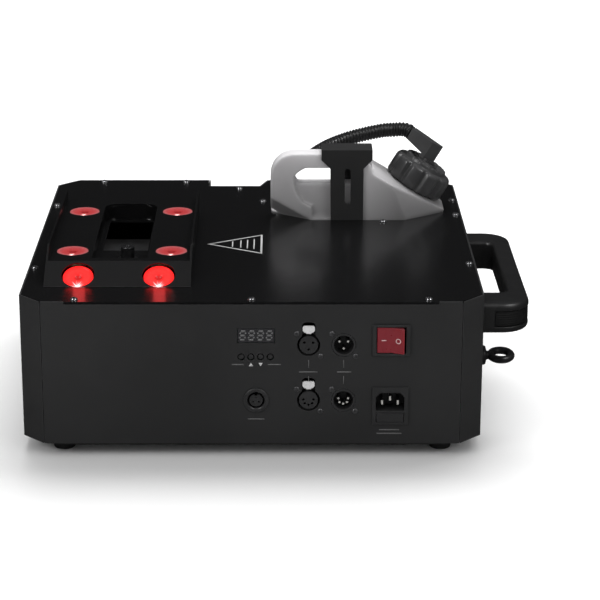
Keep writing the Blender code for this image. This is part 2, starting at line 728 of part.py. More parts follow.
def build_elbow():
    """Angular elbow with a round spigot down through the cap; its arm leans to the rear."""
    foot, top = CAP_DISC_TOP + GAP, 0.0460
    plan = ((-0.0080, -0.0065), (-0.0035, -0.0065), (0.0040, 0.0), (0.0040, 0.0065), (-0.0080, 0.0065))
    post = extrude(plan, "z", foot, top)
    side = ((-0.0040, top), (-0.0280, top), (-0.0272, 0.0345), (-0.0080, 0.0315), (-0.0040, 0.0315))
    arm = extrude(side, "y", -0.0065, 0.0065)
    spigot = disc(0, 0, CAP_BORE_R - 0.0006, "z", 0.0, CAP_DISC_TOP + 0.0025, 20)
    bore = disc(0, 0, 0.0014, "z", -0.01, 0.0395, 12)
    elbow = placed(cut(join(post, arm, spigot), bore), Matrix.Rotation(-ELBOW_SWING, 4, "Z"))
    piece(elbow, "cap_elbow", "black_plastic", at=NECK, turn=(0, NECK_TILT, 0))


def smooth_route(points, per_span):
    """Points on a Catmull-Rom curve through the given points."""
    pts = [Vector(p) for p in points]
    pts = [2 * pts[0] - pts[1]] + pts + [2 * pts[-1] - pts[-2]]
    route = []
    for i in range(1, len(pts) - 2):
        a, b, c, d = pts[i - 1:i + 3]
        for k in range(per_span):
            t = k / per_span
            route.append(0.5 * (2 * b + (c - a) * t + (2 * a - 5 * b + 4 * c - d) * t ** 2
                                + (3 * b - a - 3 * c + d) * t ** 3))
    route.append(pts[-2])
    return route


def build_tube(name, points, radius, mat, per_span=1, sides=3):
    """A round tube along a route, as a curve with filled caps."""
    curve = bpy.data.curves.new(name, "CURVE")
    curve.dimensions = "3D"
    curve.bevel_depth = radius
    curve.bevel_resolution = sides
    curve.use_fill_caps = True
    route = smooth_route(points, per_span)
    spline = curve.splines.new("POLY")
    spline.points.add(len(route) - 1)
    for slot, p in zip(spline.points, route):
        slot.co = (*p, 1.0)
    obj = bpy.data.objects.new(name, curve)
    bpy.context.collection.objects.link(obj)
    curve.materials.append(material(mat))
    obj.parent = bpy.data.objects["casing_frame"]


def build_fluid_line():
    """Pickup tube and filter in the jug, corrugated hose, gland and inner tubes."""
    tilt = (0, NECK_TILT, 0)
    pickup = turned(((0.0020, -0.138), (0.0032, -0.138), (0.0032, -0.0006), (0.0020, -0.0006)), 12)
    piece(pickup, "pickup_tube", "tube", at=NECK, turn=tilt)
    screen = turned(((0.0, -0.1500), (0.0060, -0.1500), (0.0060, -0.1383), (0.0, -0.1383)), 16)
    piece(screen, "intake_filter", "brass", at=NECK, turn=tilt)
    build_tube("fluid_hose", HOSE_ROUTE, HOSE_R, "black_plastic", per_span=2)
    x, y, z = HOSE_ROUTE[-1]
    end = LID_Z - LID_T - 0.010
    gland = (
        (0.0020, end), (0.0050, end), (0.0050, LID_Z + GAP),
        (0.0088, LID_Z + GAP), (0.0088, z - 0.0012), (0.0080, z - GAP), (0.0020, z - GAP),
    )
    piece(turned(gland, 20), "hose_gland", "black_plastic", at=(x, y, 0))
    start = (x, y, end - GAP)
    inlet = (start, (x, y, 0.100), (0.016, 0.173, 0.070), (0.006, 0.165, 0.040),
             (0.006, 0.130, 0.022), (0.006, 0.060, 0.018), (0.020, 0.036, 0.020),
             (0.060, 0.028, 0.0265), (0.0987, 0.026, 0.0275))
    build_tube("pump_inlet_tube", inlet, 0.0030, "tube", per_span=3, sides=2)
    outlet = ((0.0303, -0.026, 0.0275), (0.010, -0.026, 0.0275), (-0.020, 0.000, 0.035),
              (-0.060, 0.060, 0.060), (-0.096, 0.080, 0.072), (-0.112, 0.074, 0.072),
              (-0.112, 0.0453, 0.072))
    build_tube("pump_outlet_tube", outlet, 0.0022, "tube", per_span=3, sides=2)


def build_bay_liner():
    """Folded liner that the jug stands in, below the lid."""
    wall = 0.0010
    z0, z1 = SHEET + GAP, HEIGHT - LID_T - GAP
    outer = extrude(bay_outline(-wall), "z", z0, z1)
    inner = extrude(bay_outline(0), "z", z0 + 0.0012, z1 + 0.01)
    piece(cut(outer, inner), "jug_bay_liner", "zinc")


def build_strap():
    """Sheet strap up the jug's face whose head folds over the handle bar."""
    low = JUG_FLOOR
    head_low, head_high, top = HEIGHT + 0.0492, HEIGHT + 0.0573, STRAP_TOP_Z
    outline = (
        (STRAP_X0, low), (STRAP_X1, low), (STRAP_X1, head_low), (STRAP_HEAD_X1, head_high),
        (STRAP_HEAD_X1, top), (STRAP_HEAD_X0, top), (STRAP_HEAD_X0, head_high),
        (STRAP_X0 - STRAP_FLARE, head_low),
    )
    y0, y1 = STRAP_Y0, STRAP_Y0 + STRAP_T
    leg = extrude(outline, "y", y0, y1)
    rear = y0 + STRAP_PLATE_DEPTH
    plate = box((STRAP_HEAD_X0, y0 + 0.0005, top - STRAP_T), (STRAP_HEAD_X1, rear, top))
    lip = box((STRAP_X0, rear - 0.0015, LOOP_BAR_Z - 0.0190), (STRAP_X1, rear, top - 0.0005))
    middle = 0.0869
    slot = arc(middle, HEIGHT + 0.0465, 0.0027, 0, 180, 6)
    slot += arc(middle, HEIGHT + 0.0183, 0.0027, 180, 360, 6)
    window = extrude(slot, "y", y0 - 0.005, y1 + 0.005)
    piece(cut(join(leg, plate, lip), window), "jug_strap", "painted_steel")


def build_pump():
    """Vibration pump: motor block with a barrel at each end."""
    body = box((0.045, -0.046, 0.010), (0.085, -0.006, 0.046))
    barrel = disc(-0.026, 0.0275, 0.008, "x", 0.031, 0.099, 16)
    foot = box((0.040, -0.050, SHEET + GAP), (0.090, -0.002, 0.0105))
    piece(join(body, barrel, foot), "fluid_pump", "zinc")


# ---------------------------------------------------------------- control panel

def build_display():
    """Digit module and the board behind it that also carries the key switches."""
    x, z = DISPLAY
    w, h = DISPLAY_SIZE[0] / 2 - GAP, DISPLAY_SIZE[1] / 2 - GAP
    y0 = FRONT + 0.0006
    block = box((x - w, y0, z - h), (x + w, y0 + 0.0080, z + h))
    piece(block, "display_module", "display")
    back = y0 + 0.0080 + GAP
    board = box((x - 0.022, back, 0.066), (x + 0.022, back + 0.0016, 0.112))
    keys = []
    for _, bx in BUTTONS:
        keys.append(box((bx - 0.0028, FRONT + 0.0062, BUTTON_Z - 0.0028),
                        (bx + 0.0028, back + 0.0005, BUTTON_Z + 0.0028)))
    piece(join(board, *keys), "control_board", "board")
    profile = (
        (0.0, 0.0), (BUTTON_R - 0.0004, 0.0), (BUTTON_R, -0.0004), (BUTTON_R, -0.0024),
        (0.0036, -0.0024), (0.0036, -0.0034), (0.0016, -0.0034), (0.0016, -0.0045), (0.0, -0.0045),
    )
    for name, bx in BUTTONS:
        button = facing_front(turned(profile[::-1], 16))
        piece(button, name, "black_plastic", at=(bx, FRONT + 0.0004, BUTTON_Z))


def build_remote_socket():
    """Round keyed socket for a wired remote: flange, groove and pin insert."""
    outer = (
        (0.0, -0.0180), (REMOTE_R - 0.0016, -0.0180), (REMOTE_R - 0.0016, GAP), (REMOTE_R, GAP),
        (REMOTE_R, 0.0010), (REMOTE_R - 0.0006, 0.0014), (0.0078, 0.0014), (0.0072, 0.0006),
        (0.0072, -0.0090), (0.0056, -0.0090), (0.0056, 0.0002), (0.0, 0.0002),
    )
    body = turned(outer, 24)
    tools = [box((-0.0012, 0.0040, -0.008), (0.0012, 0.0080, 0.002))]
    for a in (210, 330, 90):
        r = 0.0028
        cx, cy = r * math.cos(math.radians(a)), r * math.sin(math.radians(a))
        tools.append(disc(cx, cy, 0.0007, "z", -0.007, 0.002, 8))
    body = facing_front(cut(body, *tools))
    piece(body, "remote_socket", "black_plastic", at=(REMOTE[0], FRONT, REMOTE[1]))


def pin_spots(count):
    """Contact places in a three-pin or five-pin data connector."""
    if count == 3:
        return ((-0.0036, 0.0021), (0.0036, 0.0021), (0.0, -0.0040))
    spread = (172, 222, 270, 318, 8)
    return [(0.0042 * math.cos(math.radians(a)), 0.0042 * math.sin(math.radians(a))) for a in spread]


def build_female_socket(name, count, z):
    """Data output: rear-mounted shell whose insert stands in a round groove."""
    shell = (
        (0.0, -0.0240), (0.0112, -0.0240), (0.0112, -0.0036), (0.0095, -0.0036),
        (0.0095, -0.0140), (0.0079, -0.0140), (0.0079, -0.0002), (0.0, -0.0002),
    )
    body = turned(shell, 24)
    flange = box((-0.0130, -0.0155, -0.0055), (0.0130, 0.0108, -0.0037))
    hollow = disc(0, 0, 0.0095, "z", -0.0139, 0.001, 24)
    core = disc(0, 0, 0.0079, "z", -0.0141, -0.0002, 24)
    body = join(cut(join(body, flange), hollow), core)
    tools = [disc(x, y, 0.0011, "z", -0.011, 0.001, 8) for x, y in pin_spots(count)]
    body = facing_front(cut(body, *tools))
    piece(body, name, "black_plastic", at=(XLR_OUT_X, FRONT, z))


def build_male_socket(name, count, z):
    """Data input: rear-mounted cup with contact pins."""
    cup = (
        (0.0, -0.0220), (0.0112, -0.0220), (0.0112, -0.0018), (0.01005, -0.0018), (0.01005, 0.0),
        (0.0083, 0.0), (0.0083, -0.0130), (0.0, -0.0130),
    )
    body = turned(cup, 24)
    plate = box((-0.0130, -0.0155, -0.0040), (0.0130, 0.0155, -0.0021))
    mouth = disc(0, 0, 0.0083, "z", -0.0129, 0.001, 24)
    body = cut(join(body, plate), mouth)
    pins = [disc(x, y, 0.0010, "z", -0.0135, -0.0030, 8) for x, y in pin_spots(count)]
    body = facing_front(join(body, *pins))
    piece(body, name, "black_plastic", at=(XLR_IN_X, FRONT, z))


def build_release_tab(name, z):
    """Push tab above a data output: rounded head with a short neck below it."""
    w, h = 0.0051, 0.0035
    outline = arc(w - 0.0018, h - 0.0018, 0.0018, 0, 90, 3)
    outline += arc(-w + 0.0018, h - 0.0018, 0.0018, 90, 180, 3)
    outline += [(-w, -0.0008), (-0.0036, -0.0024), (-0.0022, -0.0027), (-0.0022, -h)]
    outline += [(0.0022, -h), (0.0022, -0.0027), (0.0036, -0.0024), (w, -0.0008)]
    head = extrude(outline, "y", -0.0006, 0.0016)
    stem = box((-0.0024, 0.0010, -0.0020), (0.0024, 0.0048, 0.0020))
    tab = join(head, stem)
    piece(tab, name, "tab_metal", at=(XLR_OUT_X, FRONT, z + TAB_Z))


def build_data_sockets():
    upper, lower = XLR_ROW_Z
    build_female_socket("data_out_3pin", 3, upper)
    build_female_socket("data_out_5pin", 5, lower)
    build_male_socket("data_in_3pin", 3, upper)
    build_male_socket("data_in_5pin", 5, lower)
    build_release_tab("release_tab_upper", upper)
    build_release_tab("release_tab_lower", lower)


def build_switch():
    """Bezel with its switch body, and a two-faced rocker on a vertical pivot."""
    w, h = SWITCH_SIZE[0] / 2, SWITCH_SIZE[1] / 2
    rw, rh = ROCKER_SIZE[0] / 2 + 0.0004, ROCKER_SIZE[1] / 2 + 0.0004
    flange = box((-w, -0.0016, -h), (w, -GAP, h))
    body = box((-w + 0.002, -0.001, -h + 0.002), (w - 0.002, 0.024, h - 0.002))
    pocket = box((-rw, -0.01, -rh), (rw, 0.014, rh))
    at = (SWITCH[0], FRONT, SWITCH[1])
    piece(cut(join(flange, body), pocket), "switch_bezel", "black_plastic", at=at)

    half = ROCKER_SIZE[0] / 2
    tip_x = half * math.cos(ROCKER_RISE) * 0.985
    outline = (
        (-half, -ROCKER_FLUSH), (0.0, -ROCKER_FLUSH), (tip_x, -ROCKER_PROUD),
        (half * 0.86, 0.0055), (0.0030, 0.0105), (-0.0030, 0.0105), (-half * 0.93, 0.0045),
    )
    rocker = extrude(outline, "z", -ROCKER_SIZE[1] / 2, ROCKER_SIZE[1] / 2)
    piece(rocker, "power_rocker", "switch_red", at=at)


def build_inlet():
    """Mains inlet with three blades, and the fuse drawer under its mouth."""
    w, h = INLET_SIZE[0] / 2, INLET_SIZE[1] / 2
    flange = box((-w, -0.0012, -h), (w, -GAP, h))
    body = box((-w + 0.0015, -0.0008, -h + 0.0015), (w - 0.0015, 0.026, h - 0.0015))
    mouth = (
        (-0.012, -0.0042), (0.012, -0.0042), (0.012, 0.0078), (0.0082, 0.0118),
        (-0.0082, 0.0118), (-0.012, 0.0078),
    )
    cavity = extrude(mouth, "y", -0.01, 0.0160)
    drawer_bay = box((-0.0118, -0.01, -0.0146), (0.0118, 0.0200, -0.0062))
    shell = cut(join(flange, body), cavity, drawer_bay)
    blades = []
    for x, z in ((-0.0066, 0.0022), (0.0, 0.0058), (0.0066, 0.0022)):
        blades.append(box((x - 0.0009, 0.0020, z - 0.0020), (x + 0.0009, 0.0165, z + 0.0020)))
    at = (INLET[0], FRONT, INLET[1])
    piece(join(shell, *blades), "power_inlet", "black_plastic", at=at)

    drawer = box((-0.0114, -0.0014, -0.0143), (0.0114, 0.0190, -0.0065))
    cradle = box((-0.0100, 0.0030, -0.0130), (0.0100, 0.0170, -0.0030))
    piece(cut(drawer, cradle), "fuse_drawer", "black_plastic", at=at)


def build_electronics():
    """Power supply and driver board on the floor."""
    base = box((0.020, -0.158, SHEET + GAP), (0.110, -0.062, 0.0200))
    case = box((0.022, -0.156, 0.0195), (0.108, -0.064, 0.0260))
    piece(join(base, case), "power_supply", "zinc")
    board = box((0.122, -0.155, 0.0080), (0.182, -0.010, 0.0096))
    tools = []
    for x in (0.126, 0.178):
        for y in (-0.151, -0.014):
            tools.append(disc(x, y, 0.0025, "z", SHEET + GAP, 0.0085, 8))
    for x, y, h in ((0.140, -0.080, 0.012), (0.162, -0.045, 0.016), (0.150, -0.120, 0.010)):
        tools.append(box((x - 0.008, y - 0.010, 0.009), (x + 0.008, y + 0.010, 0.009 + h)))
    piece(join(board, *tools), "driver_board", "board")


# ---------------------------------------------------------------- right side

def handle_outline(inset):
    """(x, y) of the handle's outer edge with two rounded outer corners."""
    x0, x1 = HALF_W + GAP, HANDLE_X1 - inset
    y0, y1 = HANDLE_Y0 + inset, HANDLE_Y1 - inset
    r = HANDLE_R - inset
    outline = [(x0, y0)] + arc(x1 - r, y0 + r, r, -90, 0, 6)
    outline += arc(x1 - r, y1 - r, r, 0, 90, 6) + [(x0, y1)]
    return outline


def build_handle():
    """D-shaped carrying handle with a soft grip band let into its outer edge."""
    body = extrude(handle_outline(0), "z", HANDLE_Z0, HANDLE_Z1)
    r = 0.008
    x1, y0, y1 = HANDLE_GAP_X1, HANDLE_GAP_Y0, HANDLE_GAP_Y1
    gap = [(HALF_W - 0.01, y0)] + arc(x1 - r, y0 + r, r, -90, 0, 4)
    gap += arc(x1 - r, y1 - r, r, 0, 90, 4) + [(HALF_W - 0.01, y1)]
    opening = extrude(gap, "z", HANDLE_Z0 - 0.01, HANDLE_Z1 + 0.01)
    start = 0.2050
    band_out = extrude(handle_outline(-0.01), "z", GRIP_Z0, GRIP_Z1)
    band_in = extrude(handle_outline(GRIP_DEPTH), "z", GRIP_Z0 - 0.01, GRIP_Z1 + 0.01)
    keep = box((0.0, -0.3, 0.0), (start, 0.3, 0.2))
    groove = cut(band_out, band_in, keep)
    piece(cut(body, opening, groove), "side_handle", "black_plastic")

    band = extrude(handle_outline(0.0006), "z", GRIP_Z0 + GAP, GRIP_Z1 - GAP)
    core = extrude(handle_outline(GRIP_DEPTH - GAP), "z", GRIP_Z0 - 0.01, GRIP_Z1 + 0.01)
    ends = box((0.0, -0.3, 0.0), (start + GAP, 0.3, 0.2))
    piece(cut(band, core, ends), "handle_grip", "rubber")


def build_eyebolt():
    """Safety eyebolt through the right wall, and the nut inside."""
    bm = bmesh.new()
    sides, ring = 20, 8
    loops = []
    for i in range(sides):
        a = 2 * math.pi * i / sides
        loop = []
        for k in range(ring):
            b = 2 * math.pi * k / ring
            r = EYE_RING_R + EYE_TUBE_R * math.cos(b)
            loop.append(bm.verts.new((r * math.cos(a), r * math.sin(a), EYE_TUBE_R * math.sin(b))))
        loops.append(loop)
    for i in range(sides):
        for k in range(ring):
            low, high = loops[i], loops[(i + 1) % sides]
            bm.faces.new((low[k], low[(k + 1) % ring], high[(k + 1) % ring], high[k]))
    eye = placed(solid(bm), Matrix.Rotation(EYE_ROLL, 4, "X"))
    wall = HALF_W - EYE_X
    collar = disc(0, 0, 0.0085, "x", wall + GAP, wall + 0.0072, 20)
    neck = disc(0, 0, 0.0040, "x", wall + 0.0067, -EYE_RING_R, 12)
    shank = disc(0, 0, 0.0029, "x", wall - 0.0120, wall + 0.001, 12)
    bolt = join(eye, collar, neck, shank)
    piece(bolt, "safety_eyebolt", "painted_steel", at=(EYE_X, EYE_Y, EYE_Z))
    nut = disc(EYE_Y, EYE_Z, 0.0058, "x", HALF_W - SHEET - GAP - 0.005, HALF_W - SHEET - GAP, 6)
    bore = disc(EYE_Y, EYE_Z, 0.0032, "x", HALF_W - 0.02, HALF_W, 12)
    piece(cut(nut, bore), "eyebolt_nut", "zinc")


def main():
    for obj in list(bpy.data.objects):
        bpy.data.objects.remove(obj)
    frame = bpy.data.objects.new("casing_frame", None)
    bpy.context.collection.objects.link(frame)
    frame.location = (FRAME_X, FRAME_Y, FOOT_H)
    build_base_tray()
    build_side_panels()
    build_top_cover()
    build_rear_recess()
    build_feet()
    build_led_housing()
    build_nozzle_well()
    build_lenses()
    build_led_boards()
    build_heater()
    build_jug()
    build_cap()
    build_elbow()
    build_fluid_line()
    build_bay_liner()
    build_strap()
    build_pump()
    build_display()
    build_remote_socket()
    build_data_sockets()
    build_switch()
    build_inlet()
    build_electronics()
    build_handle()
    build_eyebolt()


main()
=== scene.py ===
import math

import bmesh
import bpy
from mathutils import Matrix, Vector


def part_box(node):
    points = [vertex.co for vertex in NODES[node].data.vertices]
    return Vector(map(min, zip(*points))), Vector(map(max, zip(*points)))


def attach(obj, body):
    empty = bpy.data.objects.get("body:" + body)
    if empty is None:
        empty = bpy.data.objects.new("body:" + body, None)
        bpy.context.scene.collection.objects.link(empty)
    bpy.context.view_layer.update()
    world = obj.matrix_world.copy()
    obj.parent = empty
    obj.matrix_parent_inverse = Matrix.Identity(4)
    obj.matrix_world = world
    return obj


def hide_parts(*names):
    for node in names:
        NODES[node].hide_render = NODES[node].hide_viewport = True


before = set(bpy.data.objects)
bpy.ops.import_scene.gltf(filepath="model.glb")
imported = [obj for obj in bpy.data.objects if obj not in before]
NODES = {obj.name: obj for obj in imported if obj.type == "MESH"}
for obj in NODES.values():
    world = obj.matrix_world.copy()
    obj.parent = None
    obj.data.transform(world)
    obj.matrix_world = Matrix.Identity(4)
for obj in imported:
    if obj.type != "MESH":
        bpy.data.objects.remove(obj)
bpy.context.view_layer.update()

ROOT = "chassis"

# Where the casing's own frame lies: middle of its underside
tray_lo, tray_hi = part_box("base_tray")
ORIGIN = Vector(((tray_lo.x + tray_hi.x) / 2, (tray_lo.y + tray_hi.y) / 2, tray_lo.z))
CASING = Matrix.Translation(ORIGIN)

# Sizes that the pieces share with the casing, in metres
FRONT = tray_lo.y - ORIGIN.y
HEIGHT = 0.1263
HALF_W = 0.195
GAP = 0.0003
SLOPE = math.atan2(0.0247, 0.046)
NECK = Vector((0.1502, 0.103, 0.1460))
NECK_TILT = math.radians(31)


# ---------------------------------------------------------------- materials

class Paint:
    """A Principled material built from procedural nodes in object space."""

    def __init__(self, name, colour, rough, metallic=0.0, **sockets):
        self.mat = bpy.data.materials.new(name)
        self.mat.use_nodes = True
        self.nodes = self.mat.node_tree.nodes
        self.links = self.mat.node_tree.links
        self.shader = self.nodes["Principled BSDF"]
        self.shader.inputs["Base Color"].default_value = (*colour, 1)
        self.shader.inputs["Roughness"].default_value = rough
        self.shader.inputs["Metallic"].default_value = metallic
        for socket, value in sockets.items():
            self.shader.inputs[socket.replace("_", " ")].default_value = value
        self.colour, self.rough = colour, rough
        self.base = None
        self.coords = self.nodes.new("ShaderNodeTexCoord").outputs["Object"]

    def node(self, kind, inputs=None, **settings):
        made = self.nodes.new("ShaderNode" + kind)
        for key, value in settings.items():
            setattr(made, key, value)
        for key, value in (inputs or {}).items():
            if isinstance(value, bpy.types.NodeSocket):
                self.links.new(value, made.inputs[key])
            else:
                made.inputs[key].default_value = value
        return made

    def noise(self, scale, detail=3.0, stretch=None):
        vector = self.coords
        if stretch:
            vector = self.node("VectorMath", {0: vector, 1: stretch}, operation="MULTIPLY").outputs[0]
        return self.node("TexNoise", {"Vector": vector, "Scale": scale, "Detail": detail}).outputs[0]

    def ranged(self, value, low, high, out_low, out_high):
        return self.node("MapRange", {0: value, 1: low, 2: high, 3: out_low, 4: out_high}).outputs[0]

    def mixed(self, factor, a, b):
        made = self.node("Mix", {0: factor}, data_type="RGBA")
        for key, value in ((6, a), (7, b)):
            if isinstance(value, bpy.types.NodeSocket):
                self.links.new(value, made.inputs[key])
            else:
                made.inputs[key].default_value = (*value, 1)
        return made.outputs[2]

    def clouds(self, scale, amount, stretch=None):
        """Broad, faint changes of colour."""
        dark = [c * (1 - amount) for c in self.colour]
        light = [c * (1 + amount) for c in self.colour]
        factor = self.ranged(self.noise(scale, 4.0, stretch), 0.32, 0.68, 0.0, 1.0)
        self.base = self.mixed(factor, dark, light)
        self.links.new(self.base, self.shader.inputs["Base Color"])
        return self

    def gloss(self, scale, spread, stretch=None):
        """Roughness that changes over the surface, as with handling and dust."""
        value = self.ranged(
            self.noise(scale, 5.0, stretch), 0.3, 0.7, self.rough - spread, self.rough + spread)
        self.links.new(value, self.shader.inputs["Roughness"])
        return self

    def bump(self, *layers):
        """Fine relief from (scale, depth in metres, stretch) noise layers."""
        normal = None
        for scale, depth, stretch in layers:
            inputs = {"Height": self.noise(scale, 2.0, stretch), "Distance": depth, "Strength": 1.0}
            if normal:
                inputs["Normal"] = normal
            normal = self.node("Bump", inputs).outputs[0]
        self.links.new(normal, self.shader.inputs["Normal"])
        return self

    def wear_and_edge_highlight(self, radius, colour, amount=0.6, scale=260):
        """Rubbed edges, broken up by noise; the lighter edges are partly a painted edge highlight."""
        soft = self.node("Bevel", {"Radius": radius}, samples=4).outputs[0]
        true = self.node("NewGeometry").outputs["Normal"]
        facing = self.node("VectorMath", {0: soft, 1: true}, operation="DOT_PRODUCT").outputs[1]
        edge = self.ranged(facing, 0.97, 0.80, 0.0, amount)
        patch = self.ranged(self.noise(scale), 0.42, 0.62, 0.15, 1.0)
        mask = self.node("Math", {0: edge, 1: patch}, operation="MULTIPLY").outputs[0]
        self.base = self.mixed(mask, self.base or self.colour, colour)
        self.links.new(self.base, self.shader.inputs["Base Color"])
        return self


FRONT_GLOW = (
    (0.00, (0.68, 0.018, 0.018)), (0.22, (0.80, 0.022, 0.022)), (0.34, (2.40, 0.040, 0.038)),
    (0.62, (3.00, 0.050, 0.046)), (0.88, (2.00, 0.030, 0.028)), (1.00, (0.45, 0.008, 0.008)),
)
DECK_GLOW = (
    (0.00, (0.26, 0.012, 0.014)), (0.20, (0.32, 0.018, 0.020)), (0.36, (0.50, 0.050, 0.054)),
    (0.66, (0.52, 0.065, 0.070)), (0.88, (0.50, 0.110, 0.116)), (1.00, (0.36, 0.120, 0.126)),
)


def make_materials():
    m = {}
    # The lighter edge colours given below are partly rubbed paint and partly painted edge highlight.
    p = Paint("casing_paint", (0.0235, 0.0235, 0.0240), 0.50, Specular_IOR_Level=0.35)
    m["casing_paint"] = p.clouds(9, 0.10).gloss(60, 0.05).bump(
        (2600, 0.000030, None), (420, 0.000010, None)).wear_and_edge_highlight(0.0009, (0.075, 0.075, 0.078), 0.55)
    p = Paint("strap_paint", (0.0260, 0.0260, 0.0265), 0.46, Specular_IOR_Level=0.4)
    m["strap_paint"] = p.clouds(9, 0.10).gloss(60, 0.05).bump(
        (2600, 0.000030, None), (420, 0.000010, None)).wear_and_edge_highlight(0.0009, (0.11, 0.11, 0.114), 0.6)
    p = Paint("lid_paint", (0.0052, 0.0052, 0.0055), 0.23, Specular_IOR_Level=0.5)
    m["lid_paint"] = p.clouds(7, 0.06).gloss(34, 0.012).bump(
        (1900, 0.0000040, None), (160, 0.0000025, None)).wear_and_edge_highlight(0.0008, (0.045, 0.045, 0.047), 0.4)
    # Painted light: a paler, more matte copy of the lid paint for the housing's faces that slope up
    # towards the light.
    p = Paint("lit_slope_paint", (0.0095, 0.0095, 0.0098), 0.45, Specular_IOR_Level=0.12)
    m["lit_slope_paint"] = p.clouds(12, 0.10).gloss(60, 0.05).bump(
        (2400, 0.000016, None)).wear_and_edge_highlight(0.0008, (0.06, 0.06, 0.062), 0.45)
    p = Paint("moulded_black", (0.0265, 0.0265, 0.0273), 0.40)
    m["black_plastic"] = p.clouds(30, 0.12).gloss(120, 0.06).bump(
        (3400, 0.000024, None)).wear_and_edge_highlight(0.0005, (0.045, 0.045, 0.047), 0.4)
    p = Paint("cap_plastic", (0.0480, 0.0480, 0.0492), 0.36)
    m["cap_plastic"] = p.clouds(30, 0.12).gloss(120, 0.06).bump(
        (3400, 0.000024, None)).wear_and_edge_highlight(0.0006, (0.10, 0.10, 0.103), 0.5)
    p = Paint("handle_plastic", (0.0115, 0.0115, 0.0119), 0.40)
    m["handle_plastic"] = p.clouds(16, 0.12).gloss(90, 0.06).bump(
        (2300, 0.000040, None), (260, 0.000020, None)).wear_and_edge_highlight(0.0012, (0.05, 0.05, 0.052), 0.35)
    p = Paint("grip_rubber", (0.0045, 0.0045, 0.0047), 0.72, Specular_IOR_Level=0.3)
    m["grip_rubber"] = p.clouds(40, 0.15).gloss(140, 0.08).bump(
        (1500, 0.00010, None), (4200, 0.00003, None))
    p = Paint("foot_rubber", (0.0120, 0.0120, 0.0120), 0.78)
    m["rubber"] = p.clouds(60, 0.20).gloss(200, 0.08).bump((1800, 0.00008, None))
    p = Paint("hose_plastic", (0.0165, 0.0165, 0.0172), 0.34)
    m["hose_plastic"] = p.clouds(60, 0.20).gloss(160, 0.08).bump((2600, 0.00003, None))
    p = Paint("board_green", (0.02, 0.16, 0.07), 0.45)
    m["circuit_board"] = p.clouds(500, 0.35, (1, 0.2, 1)).gloss(300, 0.12).bump(
        (1400, 0.00004, (1, 0.3, 1)))
    p = Paint("zinc_plate", (0.50, 0.50, 0.52), 0.34, 1.0)
    m["zinc"] = p.clouds(90, 0.12).gloss(500, 0.10, (1, 0.05, 1)).bump((1500, 0.00001, (1, 0.06, 1)))
    p = Paint("cast_aluminium", (0.55, 0.56, 0.58), 0.48, 1.0)
    m["cast_aluminium"] = p.clouds(120, 0.15).gloss(400, 0.12).bump((900, 0.00010, None))
    p = Paint("glass_blanket", (0.020, 0.020, 0.021), 0.95)
    m["insulation"] = p.clouds(200, 0.15).gloss(200, 0.04).bump(
        (700, 0.0004, (1, 4, 1)), (700, 0.0004, (4, 1, 1)))
    p = Paint("nozzle_steel", (0.035, 0.035, 0.037), 0.34, 0.7)
    m["nozzle_metal"] = p.clouds(300, 0.3).gloss(600, 0.10).bump((1400, 0.00002, (1, 1, 8)))
    p = Paint("turned_brass", (0.60, 0.42, 0.16), 0.34, 1.0)
    m["brass"] = p.clouds(300, 0.2).gloss(600, 0.1).bump((2600, 0.00005, None))
    p = Paint("soft_tube", (0.65, 0.66, 0.62), 0.35)
    m["clear_tube"] = p.clouds(90, 0.08).gloss(200, 0.08).bump((900, 0.00003, None))
    p = Paint("tab_metal", (0.78, 0.78, 0.78), 0.34, 0.25)
    m["tab_metal"] = p.clouds(300, 0.08).gloss(900, 0.08).bump((2200, 0.00003, (1, 1, 0.2)))
    p = Paint("black_oxide", (0.018, 0.018, 0.019), 0.36, 0.3)
    m["black_steel"] = p.clouds(120, 0.2).gloss(420, 0.08).bump((1800, 0.00003, None)).wear_and_edge_highlight(
        0.0004, (0.16, 0.16, 0.165), 0.5)
    p = Paint("screw_black", (0.32, 0.32, 0.33), 0.26, 0.9)
    m["screw_black"] = p.clouds(300, 0.2).gloss(900, 0.08).bump((2400, 0.00002, None)).wear_and_edge_highlight(
        0.0003, (0.30, 0.30, 0.31), 0.7)
    p = Paint("screw_blacked", (0.110, 0.110, 0.113), 0.34, 0.6)
    m["screw_blacked"] = p.clouds(300, 0.2).gloss(900, 0.08).bump((2400, 0.00002, None))
    p = Paint("contact_metal", (0.58, 0.57, 0.54), 0.34, 0.25)
    m["contact_metal"] = p.clouds(900, 0.1).gloss(1500, 0.08).bump((3000, 0.00001, None))
    p = Paint("display_window", (0.027, 0.027, 0.029), 0.16, Coat_Weight=0.4)
    m["display"] = p.clouds(120, 0.1).gloss(240, 0.05).bump((700, 0.000004, None))
    p = Paint("digit_segment", (0.120, 0.120, 0.123), 0.40)
    m["segment"] = p.clouds(900, 0.12).gloss(900, 0.06).bump((2500, 0.00001, None))
    p = Paint("print_grey", (0.50, 0.50, 0.50), 0.55)
    m["print"] = p.clouds(1200, 0.25).gloss(900, 0.06).bump((3000, 0.00001, None))
    p = Paint("print_dim", (0.12, 0.12, 0.12), 0.50)
    m["print_dim"] = p.clouds(1200, 0.25).gloss(900, 0.06).bump((3000, 0.00001, None))
    p = Paint("rocker_red", (0.21, 0.016, 0.024), 0.30, Coat_Weight=0.3, Subsurface_Weight=0.1)
    m["switch_red"] = p.clouds(160, 0.04).gloss(300, 0.03).bump((1500, 0.000005, None))
    p = Paint("rocker_mark", (0.62, 0.42, 0.42), 0.45)
    m["rocker_mark"] = p.clouds(900, 0.1).gloss(900, 0.05).bump((3000, 0.00001, None))
    m["jug_plastic"] = jug_material()
    m["lens_front"] = lens_material(
        "lens_lit", FRONT_GLOW, (4.8, 3.2, 3.2), -0.0118, (1.0, 0.8, 1.0), 0.0066)
    m["lens_deck"] = lens_material(
        "lens_lit_deck", DECK_GLOW, (5.0, 2.8, 2.7), -0.0112, (1.9, 0.9, 1.0), 0.0066)
    return {key: value.mat for key, value in m.items()}


